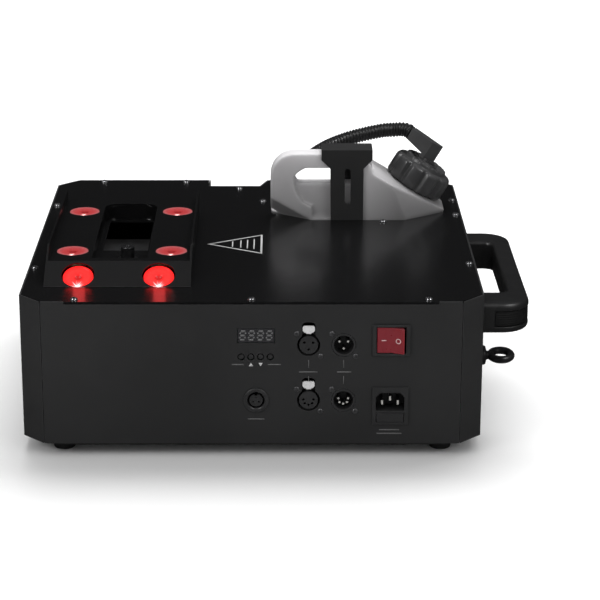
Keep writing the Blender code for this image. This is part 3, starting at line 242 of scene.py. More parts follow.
def jug_material():
    """Milky grey blow-moulded plastic; painted light makes it paler upwards and painted shade makes it
    darker towards the cap's side.
    """
    p = Paint("jug_milky", (0.36, 0.355, 0.36), 0.38, Specular_IOR_Level=0.28, Subsurface_Weight=0.45,
              Subsurface_Scale=0.010, Subsurface_Radius=(1.0, 1.0, 1.0))
    p.clouds(16, 0.07).gloss(50, 0.06, (1, 1, 0.4))
    # Painted light: the colour grows paler with height above the lid.
    height = p.node("SeparateXYZ", {0: p.coords}).outputs[2]
    painted_light_rise = p.ranged(height, HEIGHT, HEIGHT + 0.060, 0.0, 1.0)
    top = p.mixed(painted_light_rise, (0.86, 0.86, 0.86), (1.75, 1.74, 1.75))
    shaded = p.node("VectorMath", {0: p.base, 1: top}, operation="MULTIPLY").outputs[0]
    # Painted shade: the colour darkens towards the cap's side.
    across = p.node("SeparateXYZ", {0: p.coords}).outputs[0]
    painted_side_shade = p.ranged(across, 0.108, 0.134, 1.0, 0.66)
    shaded = p.node("VectorMath", {0: shaded, 1: painted_side_shade}, operation="MULTIPLY").outputs[0]
    p.links.new(shaded, p.shader.inputs["Base Color"])
    p.bump((38, 0.00035, (1, 1, 0.35)), (1300, 0.000020, None))
    return p


def lens_material(name, stops, spot, spot_y, spot_scale, spot_reach):
    """Lit lens: dim dimple, bright dish, deep rim, and the emitter's image at the lower rim."""
    p = Paint(name, (0.05, 0.004, 0.004), 0.30, Specular_IOR_Level=0.15)
    flat = p.node("VectorMath", {0: p.coords, 1: (1, 1, 0)}, operation="MULTIPLY").outputs[0]
    radius = p.node("VectorMath", {0: flat}, operation="LENGTH").outputs[1]
    ramp = p.node("ValToRGB", {0: p.ranged(radius, 0.0, 0.0137, 0.0, 1.0)})
    ramp.color_ramp.interpolation = "EASE"
    while len(ramp.color_ramp.elements) < len(stops):
        ramp.color_ramp.elements.new(0.5)
    for element, (position, colour) in zip(ramp.color_ramp.elements, stops):
        element.position = position
        element.color = (*colour, 1)
    cells = p.node("TexVoronoi", {"Vector": p.coords, "Scale": 620.0}).outputs["Distance"]
    facet = p.ranged(cells, 0.0, 0.7, 1.10, 0.78)
    lit = p.node("VectorMath", {0: ramp.outputs[0], 1: facet}, operation="MULTIPLY").outputs[0]
    away = p.node("VectorMath", {0: flat, 1: (0.0, spot_y, 0.0)}, operation="SUBTRACT").outputs[0]
    away = p.node("VectorMath", {0: away, 1: spot_scale}, operation="MULTIPLY").outputs[0]
    reach = p.node("VectorMath", {0: away}, operation="LENGTH").outputs[1]
    heading = p.node("VectorMath", {0: away}, operation="NORMALIZE").outputs[0]
    rays = p.node("TexNoise", {"Vector": heading, "Scale": 8.5, "Detail": 2.0}).outputs[0]
    length = p.ranged(rays, 0.36, 0.66, spot_reach * 0.35, spot_reach * 1.25)
    share = p.node("Math", {0: reach, 1: length}, operation="DIVIDE").outputs[0]
    glow = p.ranged(share, 1.0, 0.0, 0.0, 1.0)
    glow = p.node("Math", {0: glow, 1: 1.6}, operation="POWER").outputs[0]
    hot = p.mixed(glow, lit, spot)
    p.links.new(hot, p.shader.inputs["Emission Color"])
    p.shader.inputs["Emission Strength"].default_value = 1.0
    p.bump((900, 0.00004, None))
    return p


MATS = make_materials()


# ---------------------------------------------------------------- mesh tools

def finish_piece(obj, name, mats, body=ROOT, node=None, bevel=0.0, segments=2,
                 angle=28, smooth=True):
    """Name a piece, give it materials and edges, and hang it on its body."""
    obj.name = name
    obj.data.name = name
    for mat in ([mats] if isinstance(mats, str) else mats):
        obj.data.materials.append(MATS[mat])
    if smooth:
        obj.data.shade_smooth()
    if bevel:
        mod = obj.modifiers.new("edge", "BEVEL")
        mod.limit_method = "ANGLE"
        mod.angle_limit = math.radians(angle)
        mod.width = bevel
        mod.segments = segments
        mod.harden_normals = smooth
    elif smooth:
        obj.data.set_sharp_from_angle(angle=math.radians(38))
    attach(obj, body)
    if node:
        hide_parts(*([node] if isinstance(node, str) else node))
    return obj


def from_bmesh(bm, matrix=None):
    bmesh.ops.recalc_face_normals(bm, faces=bm.faces)
    mesh = bpy.data.meshes.new("piece")
    bm.to_mesh(mesh)
    bm.free()
    for old in ("custom_normal", "sharp_edge", "sharp_face"):
        if old in mesh.attributes:
            mesh.attributes.remove(mesh.attributes[old])
    obj = bpy.data.objects.new("piece", mesh)
    bpy.context.scene.collection.objects.link(obj)
    obj.matrix_world = matrix or Matrix.Identity(4)
    return obj


def node_bmesh(node, frame_matrix=None):
    """The CAD node's shape as clean, flat-faced geometry in a frame of its own."""
    bm = bmesh.new()
    bm.from_mesh(NODES[node].data)
    bmesh.ops.remove_doubles(bm, verts=bm.verts, dist=2e-6)
    bmesh.ops.dissolve_limit(bm, angle_limit=math.radians(0.4), verts=bm.verts, edges=bm.edges)
    bm.transform((frame_matrix or CASING).inverted())
    for face in bm.faces:
        face.material_index = 0
    return bm


def softened(node, mats, name, bevel, body=ROOT, segments=2, frame_matrix=None, paint=None,
             angle=28, smooth=True):
    """The CAD node's shape with real, rounded edges; paint(centre) may pick another material."""
    matrix = frame_matrix or CASING
    bm = node_bmesh(node, matrix)
    if paint:
        for face in bm.faces:
            face.material_index = paint(face.calc_center_median(), face.normal)
    obj = from_bmesh(bm, matrix)
    return finish_piece(obj, name, mats, body, node, bevel, segments, angle, smooth)


def plate_xz(outline, y0, y1):
    """A prism between two depths from an (x, z) outline."""
    bm = bmesh.new()
    near = [bm.verts.new((x, y0, z)) for x, z in outline]
    far = [bm.verts.new((x, y1, z)) for x, z in outline]
    count = len(outline)
    bm.faces.new(near)
    bm.faces.new(far[::-1])
    for i in range(count):
        j = (i + 1) % count
        bm.faces.new((near[j], near[i], far[i], far[j]))
    return bm


def join_all(parts):
    """One bmesh from several."""
    whole = bmesh.new()
    for part in parts:
        mesh = bpy.data.meshes.new("part")
        part.to_mesh(mesh)
        part.free()
        whole.from_mesh(mesh)
        bpy.data.meshes.remove(mesh)
    return whole


def ring_loft(rings, loop=False):
    """Skin over rings of equal length, capped at both ends or joined in a loop."""
    bm = bmesh.new()
    made = [[bm.verts.new(p) for p in ring] for ring in rings]
    spans = len(made) if loop else len(made) - 1
    for k in range(spans):
        a, b = made[k], made[(k + 1) % len(made)]
        for i in range(len(a)):
            j = (i + 1) % len(a)
            bm.faces.new((a[i], a[j], b[j], b[i]))
    if not loop:
        bm.faces.new(made[0][::-1])
        bm.faces.new(made[-1])
    return bm


def turned(profile, sides=48, shape=None):
    """Solid of revolution about Z; shape(angle, radius, z, index) may bend each ring."""
    bm = bmesh.new()
    rings = []
    for index, (r, z) in enumerate(profile):
        if r <= 0:
            rings.append([bm.verts.new((0, 0, z))] * sides)
            continue
        ring = []
        for i in range(sides):
            a = 2 * math.pi * i / sides
            rr, zz = shape(a, r, z, index) if shape else (r, z)
            ring.append(bm.verts.new((rr * math.cos(a), rr * math.sin(a), zz)))
        rings.append(ring)
    closed = all(r > 0 for r, _ in profile)
    spans = len(rings) if closed else len(rings) - 1
    for k in range(spans):
        low, high = rings[k], rings[(k + 1) % len(rings)]
        for i in range(sides):
            j = (i + 1) % sides
            corners = []
            for vert in (low[i], low[j], high[j], high[i]):
                if vert not in corners:
                    corners.append(vert)
            if len(corners) > 2:
                bm.faces.new(corners)
    return bm


def arc(cx, cy, r, start, end, count):
    points = []
    for i in range(count + 1):
        a = math.radians(start + (end - start) * i / count)
        points.append((cx + r * math.cos(a), cy + r * math.sin(a)))
    return points


# ---------------------------------------------------------------- casing

def build_casing():
    softened("base_tray", "casing_paint", "casing_tray", 0.0006)
    softened("left_side_panel", "casing_paint", "casing_left_side", 0.0007)
    softened("right_side_panel", "casing_paint", "casing_right_side", 0.0007)
    softened("rear_recess", "casing_paint", "casing_rear_recess", 0.0005)
    softened("top_cover", "lid_paint", "casing_lid", 0.0005)

    # Faces that slope up and forward get the paler slope paint as painted light.
    def housing_paint(centre, normal):
        sloping = normal.y < -0.3 and normal.z > 0.3
        return 1 if sloping else 0
    softened("led_housing", ["lid_paint", "lit_slope_paint"], "led_housing_shell", 0.0006,
             paint=housing_paint)
    softened("nozzle_well", "lid_paint", "nozzle_well_tub", 0.0004)
    softened("jug_strap", "strap_paint", "jug_strap_bracket", 0.0005)
    for end in ("front", "rear"):
        for side in ("left", "right"):
            build_foot(end, side)


def build_foot(end, side):
    node = f"foot_{end}_{side}"
    lo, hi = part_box(node)
    at = Vector(((lo.x + hi.x) / 2, (lo.y + hi.y) / 2, hi.z))
    drop = hi.z - lo.z
    r = (hi.x - lo.x) / 2
    profile = [(0.0, 0.0), (r - 0.0006, 0.0), (r, -0.0008), (r, -drop + 0.0030)]
    profile += [(r - 0.0016 + x, -drop + 0.0016 + z) for x, z in arc(0, 0, 0.0016, 0, -90, 5)]
    profile += [(0.0052, -drop), (0.0045, -drop + 0.0006), (0.0045, -drop + 0.004)]
    profile += [(0.0026, -drop + 0.004), (0.0026, -drop + 0.0026), (0.0, -drop + 0.0026)]
    obj = from_bmesh(turned(profile, 40), Matrix.Translation(at))
    finish_piece(obj, node + "_pad", "rubber", ROOT, node)


SHADOW_STRIP_WIDTH = 0.330
SHADOW_STRIP_DEPTH = 0.0040


def build_shadow_strip():
    """Thin dark strip under the front wall, set back a little from its face: a painted contact shadow
    along the panel's bottom edge.
    """
    outline = print_bar(0.0, -0.0006, SHADOW_STRIP_WIDTH, 0.0011)
    near = FRONT + 0.0006
    obj = from_bmesh(plate_xz(outline, near, near + SHADOW_STRIP_DEPTH), CASING)
    finish_piece(obj, "painted_shadow_strip", "rubber", ROOT, None, smooth=False)


def screw_mesh(radius, height, mat):
    """Domed head with a cross recess, standing on z = 0."""
    profile = [(0.0, 0.0), (radius, 0.0)]
    for i in range(7):
        a = math.radians(15 + 75 * i / 6)
        profile.append((radius * math.cos(a), height * (0.15 + 0.85 * math.sin(a) ** 1.2)))
    profile[-1] = (0.0, height)
    obj = from_bmesh(turned(profile, 24))
    tools = []
    for turn in (0, math.pi / 2):
        arm = bmesh.new()
        slot_size = Matrix.Diagonal((radius * 1.15, radius * 0.26, height, 1))
        bmesh.ops.create_cube(arm, size=1.0, matrix=slot_size)
        arm.transform(Matrix.Rotation(turn, 4, "Z") @ Matrix.Translation((0, 0, height * 0.95)))
        tools.append(from_bmesh(arm))
    for tool in tools:
        mod = obj.modifiers.new("cut", "BOOLEAN")
        mod.operation = "DIFFERENCE"
        mod.solver = "EXACT"
        mod.object = tool
    bpy.context.view_layer.update()
    deps = bpy.context.evaluated_depsgraph_get()
    mesh = bpy.data.meshes.new_from_object(obj.evaluated_get(deps))
    for each in (*tools, obj):
        bpy.data.objects.remove(each)
    mesh.materials.append(MATS[mat])
    mesh.shade_smooth()
    mesh.set_sharp_from_angle(angle=math.radians(35))
    return mesh


LID_SCREWS = (
    (-0.1476, -0.187), (0.0, -0.187), (0.1477, -0.187), (-0.189, -0.100), (-0.189, 0.099),
    (-0.150, 0.184), (-0.069, 0.184), (0.150, 0.184), (-0.0156, 0.1605), (0.0075, 0.114),
    (0.120, 0.044), (0.1895, -0.087), (0.1895, 0.067), (0.1895, 0.117),
)
SOCKETS = (
    ("data_out_3pin", 0.0477, 0.0883, 3), ("data_out_5pin", 0.0477, 0.0391, 5),
    ("data_in_3pin", 0.0770, 0.0883, 3), ("data_in_5pin", 0.0770, 0.0391, 5),
)


def build_screws():
    lid = screw_mesh(0.0033, 0.0026, "screw_black")
    for i, (x, y) in enumerate(LID_SCREWS):
        obj = bpy.data.objects.new(f"lid_screw_{i + 1:02d}", lid)
        bpy.context.scene.collection.objects.link(obj)
        obj.matrix_world = CASING @ Matrix.Translation((x, y, HEIGHT)) @ Matrix.Rotation(0.7 * i, 4, "Z")
        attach(obj, ROOT)
    small = screw_mesh(0.0023, 0.0010, "screw_blacked")
    facing = Matrix.Rotation(math.radians(90), 4, "X")
    for name, x, z, _ in SOCKETS:
        for k, (dx, dz) in enumerate(((-0.0100, 0.0099), (0.0100, -0.0099))):
            obj = bpy.data.objects.new(f"{name}_screw_{k + 1}", small)
            bpy.context.scene.collection.objects.link(obj)
            spin = Matrix.Rotation(0.9 * k + 0.5 + x * 30, 4, "Z")
            obj.matrix_world = CASING @ Matrix.Translation((x + dx, FRONT, z + dz)) @ facing @ spin
            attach(obj, ROOT)


# ---------------------------------------------------------------- lamps

SLOPE_FOOT_Y = -0.154
LENS_UP = 0.0151
LENS_RECESS = 0.0026
DECK_LENS_R = 0.0135
FRONT_LENS_R = 0.0130


def lens_bmesh(r):
    """Dish with a dimple and a rolled rim, and the cone behind it."""
    profile = [(0.0, -0.0078), (0.0050, -0.0078), (r - 0.0003, -0.0018), (r, -0.0013), (r, -0.0004)]
    profile += [(r - 0.0004 + x, -0.0004 + z) for x, z in arc(0, 0, 0.0004, 20, 90, 3)]
    profile += [(0.0119, -0.0001), (0.0112, -0.0005), (0.0090, -0.0008), (0.0062, -0.0009),
                (0.0040, -0.0010), (0.0033, -0.0014), (0.0024, -0.0021), (0.0012, -0.0025),
                (0.0, -0.0026)]
    return turned(profile, 56)


def build_lenses():
    for row in ("rear", "middle"):
        for side in ("left", "right"):
            node = f"lens_{row}_{side}"
            lo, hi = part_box(node)
            at = Vector(((lo.x + hi.x) / 2, (lo.y + hi.y) / 2, hi.z))
            obj = from_bmesh(lens_bmesh(DECK_LENS_R), Matrix.Translation(at))
            finish_piece(obj, node + "_optic", "lens_deck", ROOT, node)
    for side in ("left", "right"):
        node = f"lens_front_{side}"
        lo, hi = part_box(node)
        y = SLOPE_FOOT_Y + LENS_UP * math.cos(SLOPE) + LENS_RECESS * math.sin(SLOPE)
        z = HEIGHT + LENS_UP * math.sin(SLOPE) - LENS_RECESS * math.cos(SLOPE)
        at = CASING @ Vector((0, y, z))
        at.x = (lo.x + hi.x) / 2
        matrix = Matrix.Translation(at) @ Matrix.Rotation(SLOPE, 4, "X")
        obj = from_bmesh(lens_bmesh(FRONT_LENS_R), matrix)
        finish_piece(obj, node + "_optic", "lens_front", ROOT, node)


# ---------------------------------------------------------------- jug

def smoothed_solid(node, voxel, rounds, name, mat, factor=0.5):
    """The CAD solid with its edges rolled over, as blow moulding leaves them."""
    obj = from_bmesh(node_bmesh(node), CASING)
    mod = obj.modifiers.new("skin", "REMESH")
    mod.mode = "VOXEL"
    mod.voxel_size = voxel
    mod = obj.modifiers.new("roll", "SMOOTH")
    mod.factor = factor
    mod.iterations = rounds
    bpy.context.view_layer.update()
    deps = bpy.context.evaluated_depsgraph_get()
    mesh = bpy.data.meshes.new_from_object(obj.evaluated_get(deps))
    obj.modifiers.clear()
    obj.data = mesh
    mesh.materials.clear()
    return finish_piece(obj, name, mat, ROOT, node, smooth=False)


def build_jug():
    jug = smoothed_solid("fluid_jug", 0.0013, 9, "jug_shell", "jug_plastic")
    jug.data.shade_smooth()


def lobe(a, count, width):
    """1 between two lobes and 0 on a lobe, with soft flanks."""
    step = 2 * math.pi / count
    off = abs((a + step / 2) % step - step / 2)
    away = abs(step / 2 - off)
    t = max(0.0, min(1.0, 1 - away / width))
    return t * t * (3 - 2 * t)


def build_cap():
    """Lobed screw cap with a notched crown ring."""
    r, bore, thread = 0.0290, 0.0072, 0.0226
    profile = [
        (thread, 0.0016), (thread + 0.0010, 0.0016), (r - 0.0008, 0.0016), (r, 0.0024), (r, 0.0100),
        (r, 0.0180), (r - 0.0003, 0.0199), (r - 0.0010, 0.0214), (r - 0.0022, 0.0225),
        (r - 0.0040, 0.0230), (0.0222, 0.0230), (0.0216, 0.0232), (0.0212, 0.0238), (0.0210, 0.0259),
        (0.0206, 0.0267), (0.0198, 0.0270), (0.0182, 0.0270), (0.0168, 0.0270), (0.0162, 0.0266),
        (0.0158, 0.0253), (0.0152, 0.0248), (0.0118, 0.0248), (0.0114, 0.0252), (0.0112, 0.0264),
        (0.0106, 0.0270), (0.0078, 0.0270), (bore, 0.0266), (bore, 0.0183), (thread, 0.0183),
    ]
    skirt = {2: 0.7, 3: 1.0, 4: 1.0, 5: 1.0, 6: 1.0, 7: 0.9, 8: 0.7, 9: 0.35}
    crown = {14: 1.0, 15: 1.0, 16: 1.0, 17: 1.0, 18: 0.8}

    def shape(a, rr, z, index):
        if index in skirt:
            rr -= 0.0027 * skirt[index] * lobe(a, 10, math.radians(9))
        if index in crown:
            z -= 0.0013 * crown[index] * lobe(a, 20, math.radians(4))
        return rr, z
    tilt = CASING @ Matrix.Translation(NECK) @ Matrix.Rotation(NECK_TILT, 4, "Y")
    obj = from_bmesh(turned(profile, 240, shape), tilt)
    finish_piece(obj, "jug_cap_lobed", "cap_plastic", "jug_cap", "jug_cap")
    obj.data.set_sharp_from_angle(angle=math.radians(60))
    softened("cap_elbow", "cap_plastic", "cap_elbow_body", 0.0013, segments=4,
             frame_matrix=tilt)


HOSE_ROUTE = (
    (0.1487, 0.1151, 0.1939), (0.1456, 0.1168, 0.1958), (0.1400, 0.1180, 0.1965),
    (0.1330, 0.1182, 0.1962), (0.1198, 0.1165, 0.1955), (0.0972, 0.1150, 0.1908),
    (0.0813, 0.1175, 0.1848),
    (0.0672, 0.1240, 0.1767), (0.0530, 0.1340, 0.1650), (0.0420, 0.1460, 0.1560),
    (0.0335, 0.1575, 0.1485), (0.0282, 0.1662, 0.1432), (0.0263, 0.1693, 0.1406),
    (0.0250, 0.1713, 0.1375), (0.0243, 0.1726, 0.1339), (0.0240, 0.1730, 0.1300),
)


def smooth_route(points, per_span):
    pts = [Vector(p) for p in points]
    pts = [2 * pts[0] - pts[1]] + pts + [2 * pts[-1] - pts[-2]]
    route = []
    for i in range(1, len(pts) - 2):
        a, b, c, d = pts[i - 1:i + 3]
        for k in range(per_span):
            t = k / per_span
            route.append(0.5 * (2 * b + (c - a) * t + (2 * a - 5 * b + 4 * c - d) * t ** 2
                                + (3 * b - a - 3 * c + d) * t ** 3))
    route.append(pts[-2])
    return route


def even_route(points, step):
    """The route resampled at even steps, its own length kept."""
    dense = smooth_route(points, 24)
    lengths = [0.0]
    for a, b in zip(dense, dense[1:]):
        lengths.append(lengths[-1] + (b - a).length)
    total = lengths[-1]
    count = max(2, round(total / step))
    made, k = [], 0
    for i in range(count + 1):
        want = total * i / count
        while k < len(lengths) - 2 and lengths[k + 1] < want:
            k += 1
        span = lengths[k + 1] - lengths[k]
        t = (want - lengths[k]) / span if span > 0 else 0
        made.append(dense[k].lerp(dense[k + 1], t))
    return made, total


def build_hose():
    """Corrugated hose: rounded crests with narrow valleys."""
    pitch = 0.0029
    route, total = even_route(HOSE_ROUTE, pitch / 8)
    side = Vector((0, 1, 0))
    rings = []
    for i, p in enumerate(route):
        ahead = route[min(i + 1, len(route) - 1)]
        behind = route[max(i - 1, 0)]
        along = (ahead - behind).normalized()
        side = (side - along * side.dot(along)).normalized()
        other = along.cross(side)
        phase = (i % 8) / 8
        crest = 0.5 + 0.5 * math.cos(2 * math.pi * phase)
        r = 0.0070 - 0.0011 * (1 - crest) ** 1.8
        if i in (0, len(route) - 1):
            r = 0.0066
        rings.append([p + side * (r * math.cos(a)) + other * (r * math.sin(a))
                      for a in (2 * math.pi * k / 28 for k in range(28))])
    obj = from_bmesh(ring_loft(rings), CASING)
    finish_piece(obj, "fluid_hose_corrugated", "hose_plastic", ROOT, "fluid_hose")
    obj.data.set_sharp_from_angle(angle=math.radians(80))
    softened("hose_gland", "black_plastic", "hose_gland_nut", 0.0003)


# ---------------------------------------------------------------- control panel

def in_disc(p, cx, cz, r):
    return math.hypot(p.x - cx, p.z - cz) <= r


def pin_spots(count):
    if count == 3:
        return ((-0.0036, 0.0021), (0.0036, 0.0021), (0.0, -0.0040))
    spread = (172, 222, 270, 318, 8)
    return [(0.0042 * math.cos(math.radians(a)), 0.0042 * math.sin(math.radians(a))) for a in spread]


def build_sockets():
    for node, x, z, count in SOCKETS:
        spots = [(x + dx, z + dz) for dx, dz in pin_spots(count)]
        male = "_in_" in node

        def paint(c, normal, spots=spots, male=male):
            # Only the male pins' front faces get contact metal; their sides keep the black plastic as
            # painted shade inside the shell.
            tip = male and normal.y < -0.5 and c.y < FRONT + 0.0131
            return int(tip and any(in_disc(c, sx, sz, 0.00125) for sx, sz in spots))
        softened(node, ["black_plastic", "contact_metal"], node + "_socket", 0.00022,
                 paint=paint, segments=2)
    softened("remote_socket", "black_plastic", "remote_socket_keyed", 0.00025)
    for which in ("upper", "lower"):
        node = f"release_tab_{which}"
        softened(node, "tab_metal", node + "_cast", 0.0005, body=node, segments=3)


def segment_outlines(cx, cz, w, h, t):
    """Seven bars of one digit as (x, z) outlines, with a slight lean."""
    lean = 0.10
    half_w, half_h = w / 2, h / 2
    cut = t * 0.5
    bars = []
    for z in (half_h - cut, 0.0, -half_h + cut):
        bars.append([(-half_w + t, z - cut), (half_w - t, z - cut), (half_w - cut, z),
                     (half_w - t, z + cut), (-half_w + t, z + cut), (-half_w + cut, z)])
    for x in (-half_w + cut, half_w - cut):
        for lo, hi in ((cut * 1.2, half_h - t), (-half_h + t, -cut * 1.2)):
            bars.append([(x - cut, lo + cut), (x, lo), (x + cut, lo + cut), (x + cut, hi - cut),
                         (x, hi), (x - cut, hi - cut)])
    return [[(cx + x + lean * z, cz + z) for x, z in bar] for bar in bars]


def build_display():
    softened("display_module", "display", "display_window", 0.0003)
    x0, z0 = 0.0037, 0.0966
    face = FRONT + 0.0006
    parts = []
    for k in range(4):
        cx = x0 + (k - 1.5) * 0.0074
        for bar in segment_outlines(cx, z0, 0.0060, 0.0092, 0.0016):
            parts.append(plate_xz(bar, face - 0.00012, face - 0.00002))
    obj = from_bmesh(join_all(parts), CASING)
    finish_piece(obj, "display_digits", "segment", ROOT, None, smooth=False)
    for name, x in (("menu_button", -0.0087), ("up_button", -0.0006), ("down_button", 0.0075),
                    ("enter_button", 0.0156)):
        build_key(name, x)


KEY_Z = 0.0778
KEY_SHARE = 0.86


def build_key(name, x):
    """Small round key, a little narrower than its CAD solid."""
    shape = node_bmesh(name)
    for vert in shape.verts:
        vert.co.x = x + (vert.co.x - x) * KEY_SHARE
        vert.co.z = KEY_Z + (vert.co.z - KEY_Z) * KEY_SHARE
    obj = from_bmesh(shape, CASING)
    finish_piece(obj, name + "_key", "black_plastic", name, name, 0.0005, 3)


def print_bar(x, z, w, h):
    return [(x - w / 2, z - h / 2), (x + w / 2, z - h / 2), (x + w / 2, z + h / 2), (x - w / 2, z + h / 2)]


def build_panel_print():
    """Plain bars, arrows and lines in pale ink; there is no lettering."""
    y0, y1 = FRONT - 0.00006, FRONT - 0.00001
    parts = []
    for x, up in ((-0.0006, 1), (0.0075, -1)):
        z = 0.0711
        parts.append(plate_xz([(x - 0.0018, z - 0.0015 * up), (x + 0.0018, z - 0.0015 * up),
                               (x, z + 0.0017 * up)][::up], y0, y1))
    obj = from_bmesh(join_all(parts), CASING)
    finish_piece(obj, "panel_print", "print", ROOT, None, smooth=False)
    parts = []
    for x in (0.0477, 0.0770):
        for z in (0.0716, 0.0573):
            parts.append(plate_xz(print_bar(x, z, 0.0005, 0.0070), y0, y1))
    for x, z, w in ((-0.0116, 0.0711, 0.0100), (0.0190, 0.0711, 0.0110), (0.0474, 0.0645, 0.0155),
                    (0.0774, 0.0645, 0.0120), (0.0035, 0.0222, 0.0140), (0.1159, 0.0125, 0.0170),
                    (0.1159, 0.0092, 0.0210)):
        parts.append(plate_xz(print_bar(x, z, w, 0.0009), y0, y1))
    obj = from_bmesh(join_all(parts), CASING)
    finish_piece(obj, "panel_label_bars", "print_dim", ROOT, None, smooth=False)


def lid_patch(bm, corners):
    """Add a paper-thin four-sided patch that lies on the lid."""
    low = [bm.verts.new((*p, HEIGHT + 0.00002)) for p in corners]
    top = [bm.verts.new((*p, HEIGHT + 0.00008)) for p in corners]
    bm.faces.new(low[::-1])
    bm.faces.new(top)
    for a in range(4):
        b = (a + 1) % 4
        bm.faces.new((low[a], low[b], top[b], top[a]))


def build_lid_label():
    """Plain triangle outline with a few ruled lines."""
    apex, base_x, y0, y1 = Vector((-0.0417, -0.0275)), 0.008, -0.057, 0.002
    corners = [apex, Vector((base_x, y0)), Vector((base_x, y1))]
    middle = sum(corners, Vector((0, 0))) / 3
    inner = [middle + (c - middle) * 0.90 for c in corners]
    bm = bmesh.new()
    for i in range(3):
        j = (i + 1) % 3
        lid_patch(bm, (corners[i], corners[j], inner[j], inner[i]))
    for t in (0.45, 0.60, 0.72, 0.84):
        x = apex.x + (base_x - apex.x) * t
        far = x + 0.0010
        half = (y1 - y0) / 2 * t * 0.62
        low_y, high_y = apex.y - half, apex.y + half
        lid_patch(bm, ((x, low_y), (far, low_y), (far, high_y), (x, high_y)))
    obj = from_bmesh(bm, CASING)
    finish_piece(obj, "lid_label_outline", "print", ROOT, None, smooth=False)


def build_switch():
    softened("switch_bezel", "black_plastic", "switch_bezel_frame", 0.0005, segments=3)
    at = Matrix.Translation((0.11655, FRONT, 0.0927))
    softened("power_rocker", "switch_red", "rocker_paddle", 0.0007, body="power_rocker",
             segments=3, frame_matrix=CASING @ at)
    face = Matrix.Translation((-0.0062, -0.0010 - 0.00002, 0))
    dash = plate_xz(print_bar(0, 0, 0.0040, 0.0009), -0.00006, 0.0)
    obj = from_bmesh(dash, CASING @ at @ face)
    finish_piece(obj, "rocker_mark_line", "rocker_mark", "power_rocker", None, smooth=False)
    slope = math.atan2(0.004458, 0.01087)
    face = Matrix.Translation((0.0, -0.0010, 0)) @ Matrix.Rotation(-slope, 4, "Z")
    face = face @ Matrix.Translation((0.0062, -0.00002, 0))
    ring = bmesh.new()
    outer, inner = arc(0, 0, 0.0023, 0, 350, 35), arc(0, 0, 0.0016, 0, 350, 35)
    rows = [[ring.verts.new((x, y, z)) for x, z in pts]
            for y, pts in ((0.0, outer), (-0.00006, outer), (-0.00006, inner), (0.0, inner))]
    for k in range(4):
        a, b = rows[k], rows[(k + 1) % 4]
        for i in range(36):
            j = (i + 1) % 36
            ring.faces.new((a[i], a[j], b[j], b[i]))
    obj = from_bmesh(ring, CASING @ at @ face)
    finish_piece(obj, "rocker_mark_circle", "rocker_mark", "power_rocker", None, smooth=False)


def build_inlet():
    cx, cz = 0.1164, 0.0342
    spots = ((cx - 0.0066, cz + 0.0022), (cx, cz + 0.0058), (cx + 0.0066, cz + 0.0022))

    def paint(c, normal):
        for x, z in spots:
            near = abs(c.x - x) < 0.0011 and abs(c.z - z) < 0.0022 and c.y < FRONT + 0.0159
            if near and normal.y < -0.5 and c.y > FRONT + 0.001:
                return 1
        return 0
    softened("power_inlet", ["black_plastic", "contact_metal"], "power_inlet_body", 0.0003,
             paint=paint)
    softened("fuse_drawer", "black_plastic", "fuse_drawer_front", 0.0004,
             body="fuse_drawer", segments=3)


# ---------------------------------------------------------------- side

HANDLE = dict(x0=0.1953, x1=0.2350, y0=-0.172, y1=0.0400, z0=0.0909, z1=0.1175, r=0.024,
              gap_x1=0.2186, gap_y0=-0.1375, gap_y1=0.008, gap_r=0.008)
GRIP_Z = (0.0968, 0.1110)
GRIP_START = 0.2050
GRIP_DEPTH = 0.0020


def handle_stations():
    """Matching points on the handle's outer and inner edges."""
    h = HANDLE
    outer, inner = [], []
    legs = (0.0, 0.25, 0.5, 0.65, 0.6501, 0.8)

    def leg(y_out, y_in, order):
        xo = h["x1"] - h["r"]
        xi = h["gap_x1"] - h["gap_r"]
        pairs = []
        for t in legs:
            pairs.append(((h["x0"] + (xo - h["x0"]) * t, y_out), (h["x0"] + (xi - h["x0"]) * t, y_in)))
        return pairs[::order]
    for o, i in leg(h["y0"], h["gap_y0"], 1):
        outer.append(o)
        inner.append(i)
    n = 14
    outer += arc(h["x1"] - h["r"], h["y0"] + h["r"], h["r"], -90, 0, n)
    inner += arc(h["gap_x1"] - h["gap_r"], h["gap_y0"] + h["gap_r"], h["gap_r"], -90, 0, n)
    for k in range(1, 12):
        t = k / 12
        yo = h["y0"] + h["r"] + (h["y1"] - h["y0"] - 2 * h["r"]) * t
        yi = h["gap_y0"] + h["gap_r"] + (h["gap_y1"] - h["gap_y0"] - 2 * h["gap_r"]) * t
        outer.append((h["x1"], yo))
        inner.append((h["gap_x1"], yi))
    outer += arc(h["x1"] - h["r"], h["y1"] - h["r"], h["r"], 0, 90, n)
    inner += arc(h["gap_x1"] - h["gap_r"], h["gap_y1"] - h["gap_r"], h["gap_r"], 0, 90, n)
    for o, i in leg(h["y1"], h["gap_y1"], -1):
        outer.append(o)
        inner.append(i)
    return [(Vector(o), Vector(i)) for o, i in zip(outer, inner)]


def handle_section(notch):
    """(side, inset, z) round the handle's section: o counts from outside, i from inside."""
    z0, z1 = HANDLE["z0"], HANDLE["z1"]
    fo, fi = 0.0046, 0.0036
    pts = []
    for x, z in arc(0, 0, fo, 0, 90, 6):
        pts.append(("o", fo - x, z1 - fo + z))
    for x, z in arc(0, 0, fi, 90, 180, 6):
        pts.append(("i", fi + x, z1 - fi + z))
    for x, z in arc(0, 0, fi, 180, 270, 6):
        pts.append(("i", fi + x, z0 + fi + z))
    for x, z in arc(0, 0, fo, 270, 360, 6):
        pts.append(("o", fo - x, z0 + fo + z))
    depth = GRIP_DEPTH if notch else 0.00001
    g0, g1 = GRIP_Z
    pts += [("o", 0.0, g0 - 0.0003), ("o", 0.0003 if notch else 0.0, g0), ("o", depth, g0),
            ("o", depth, g1), ("o", 0.0003 if notch else 0.0, g1), ("o", 0.0, g1 + 0.0003)]
    return pts


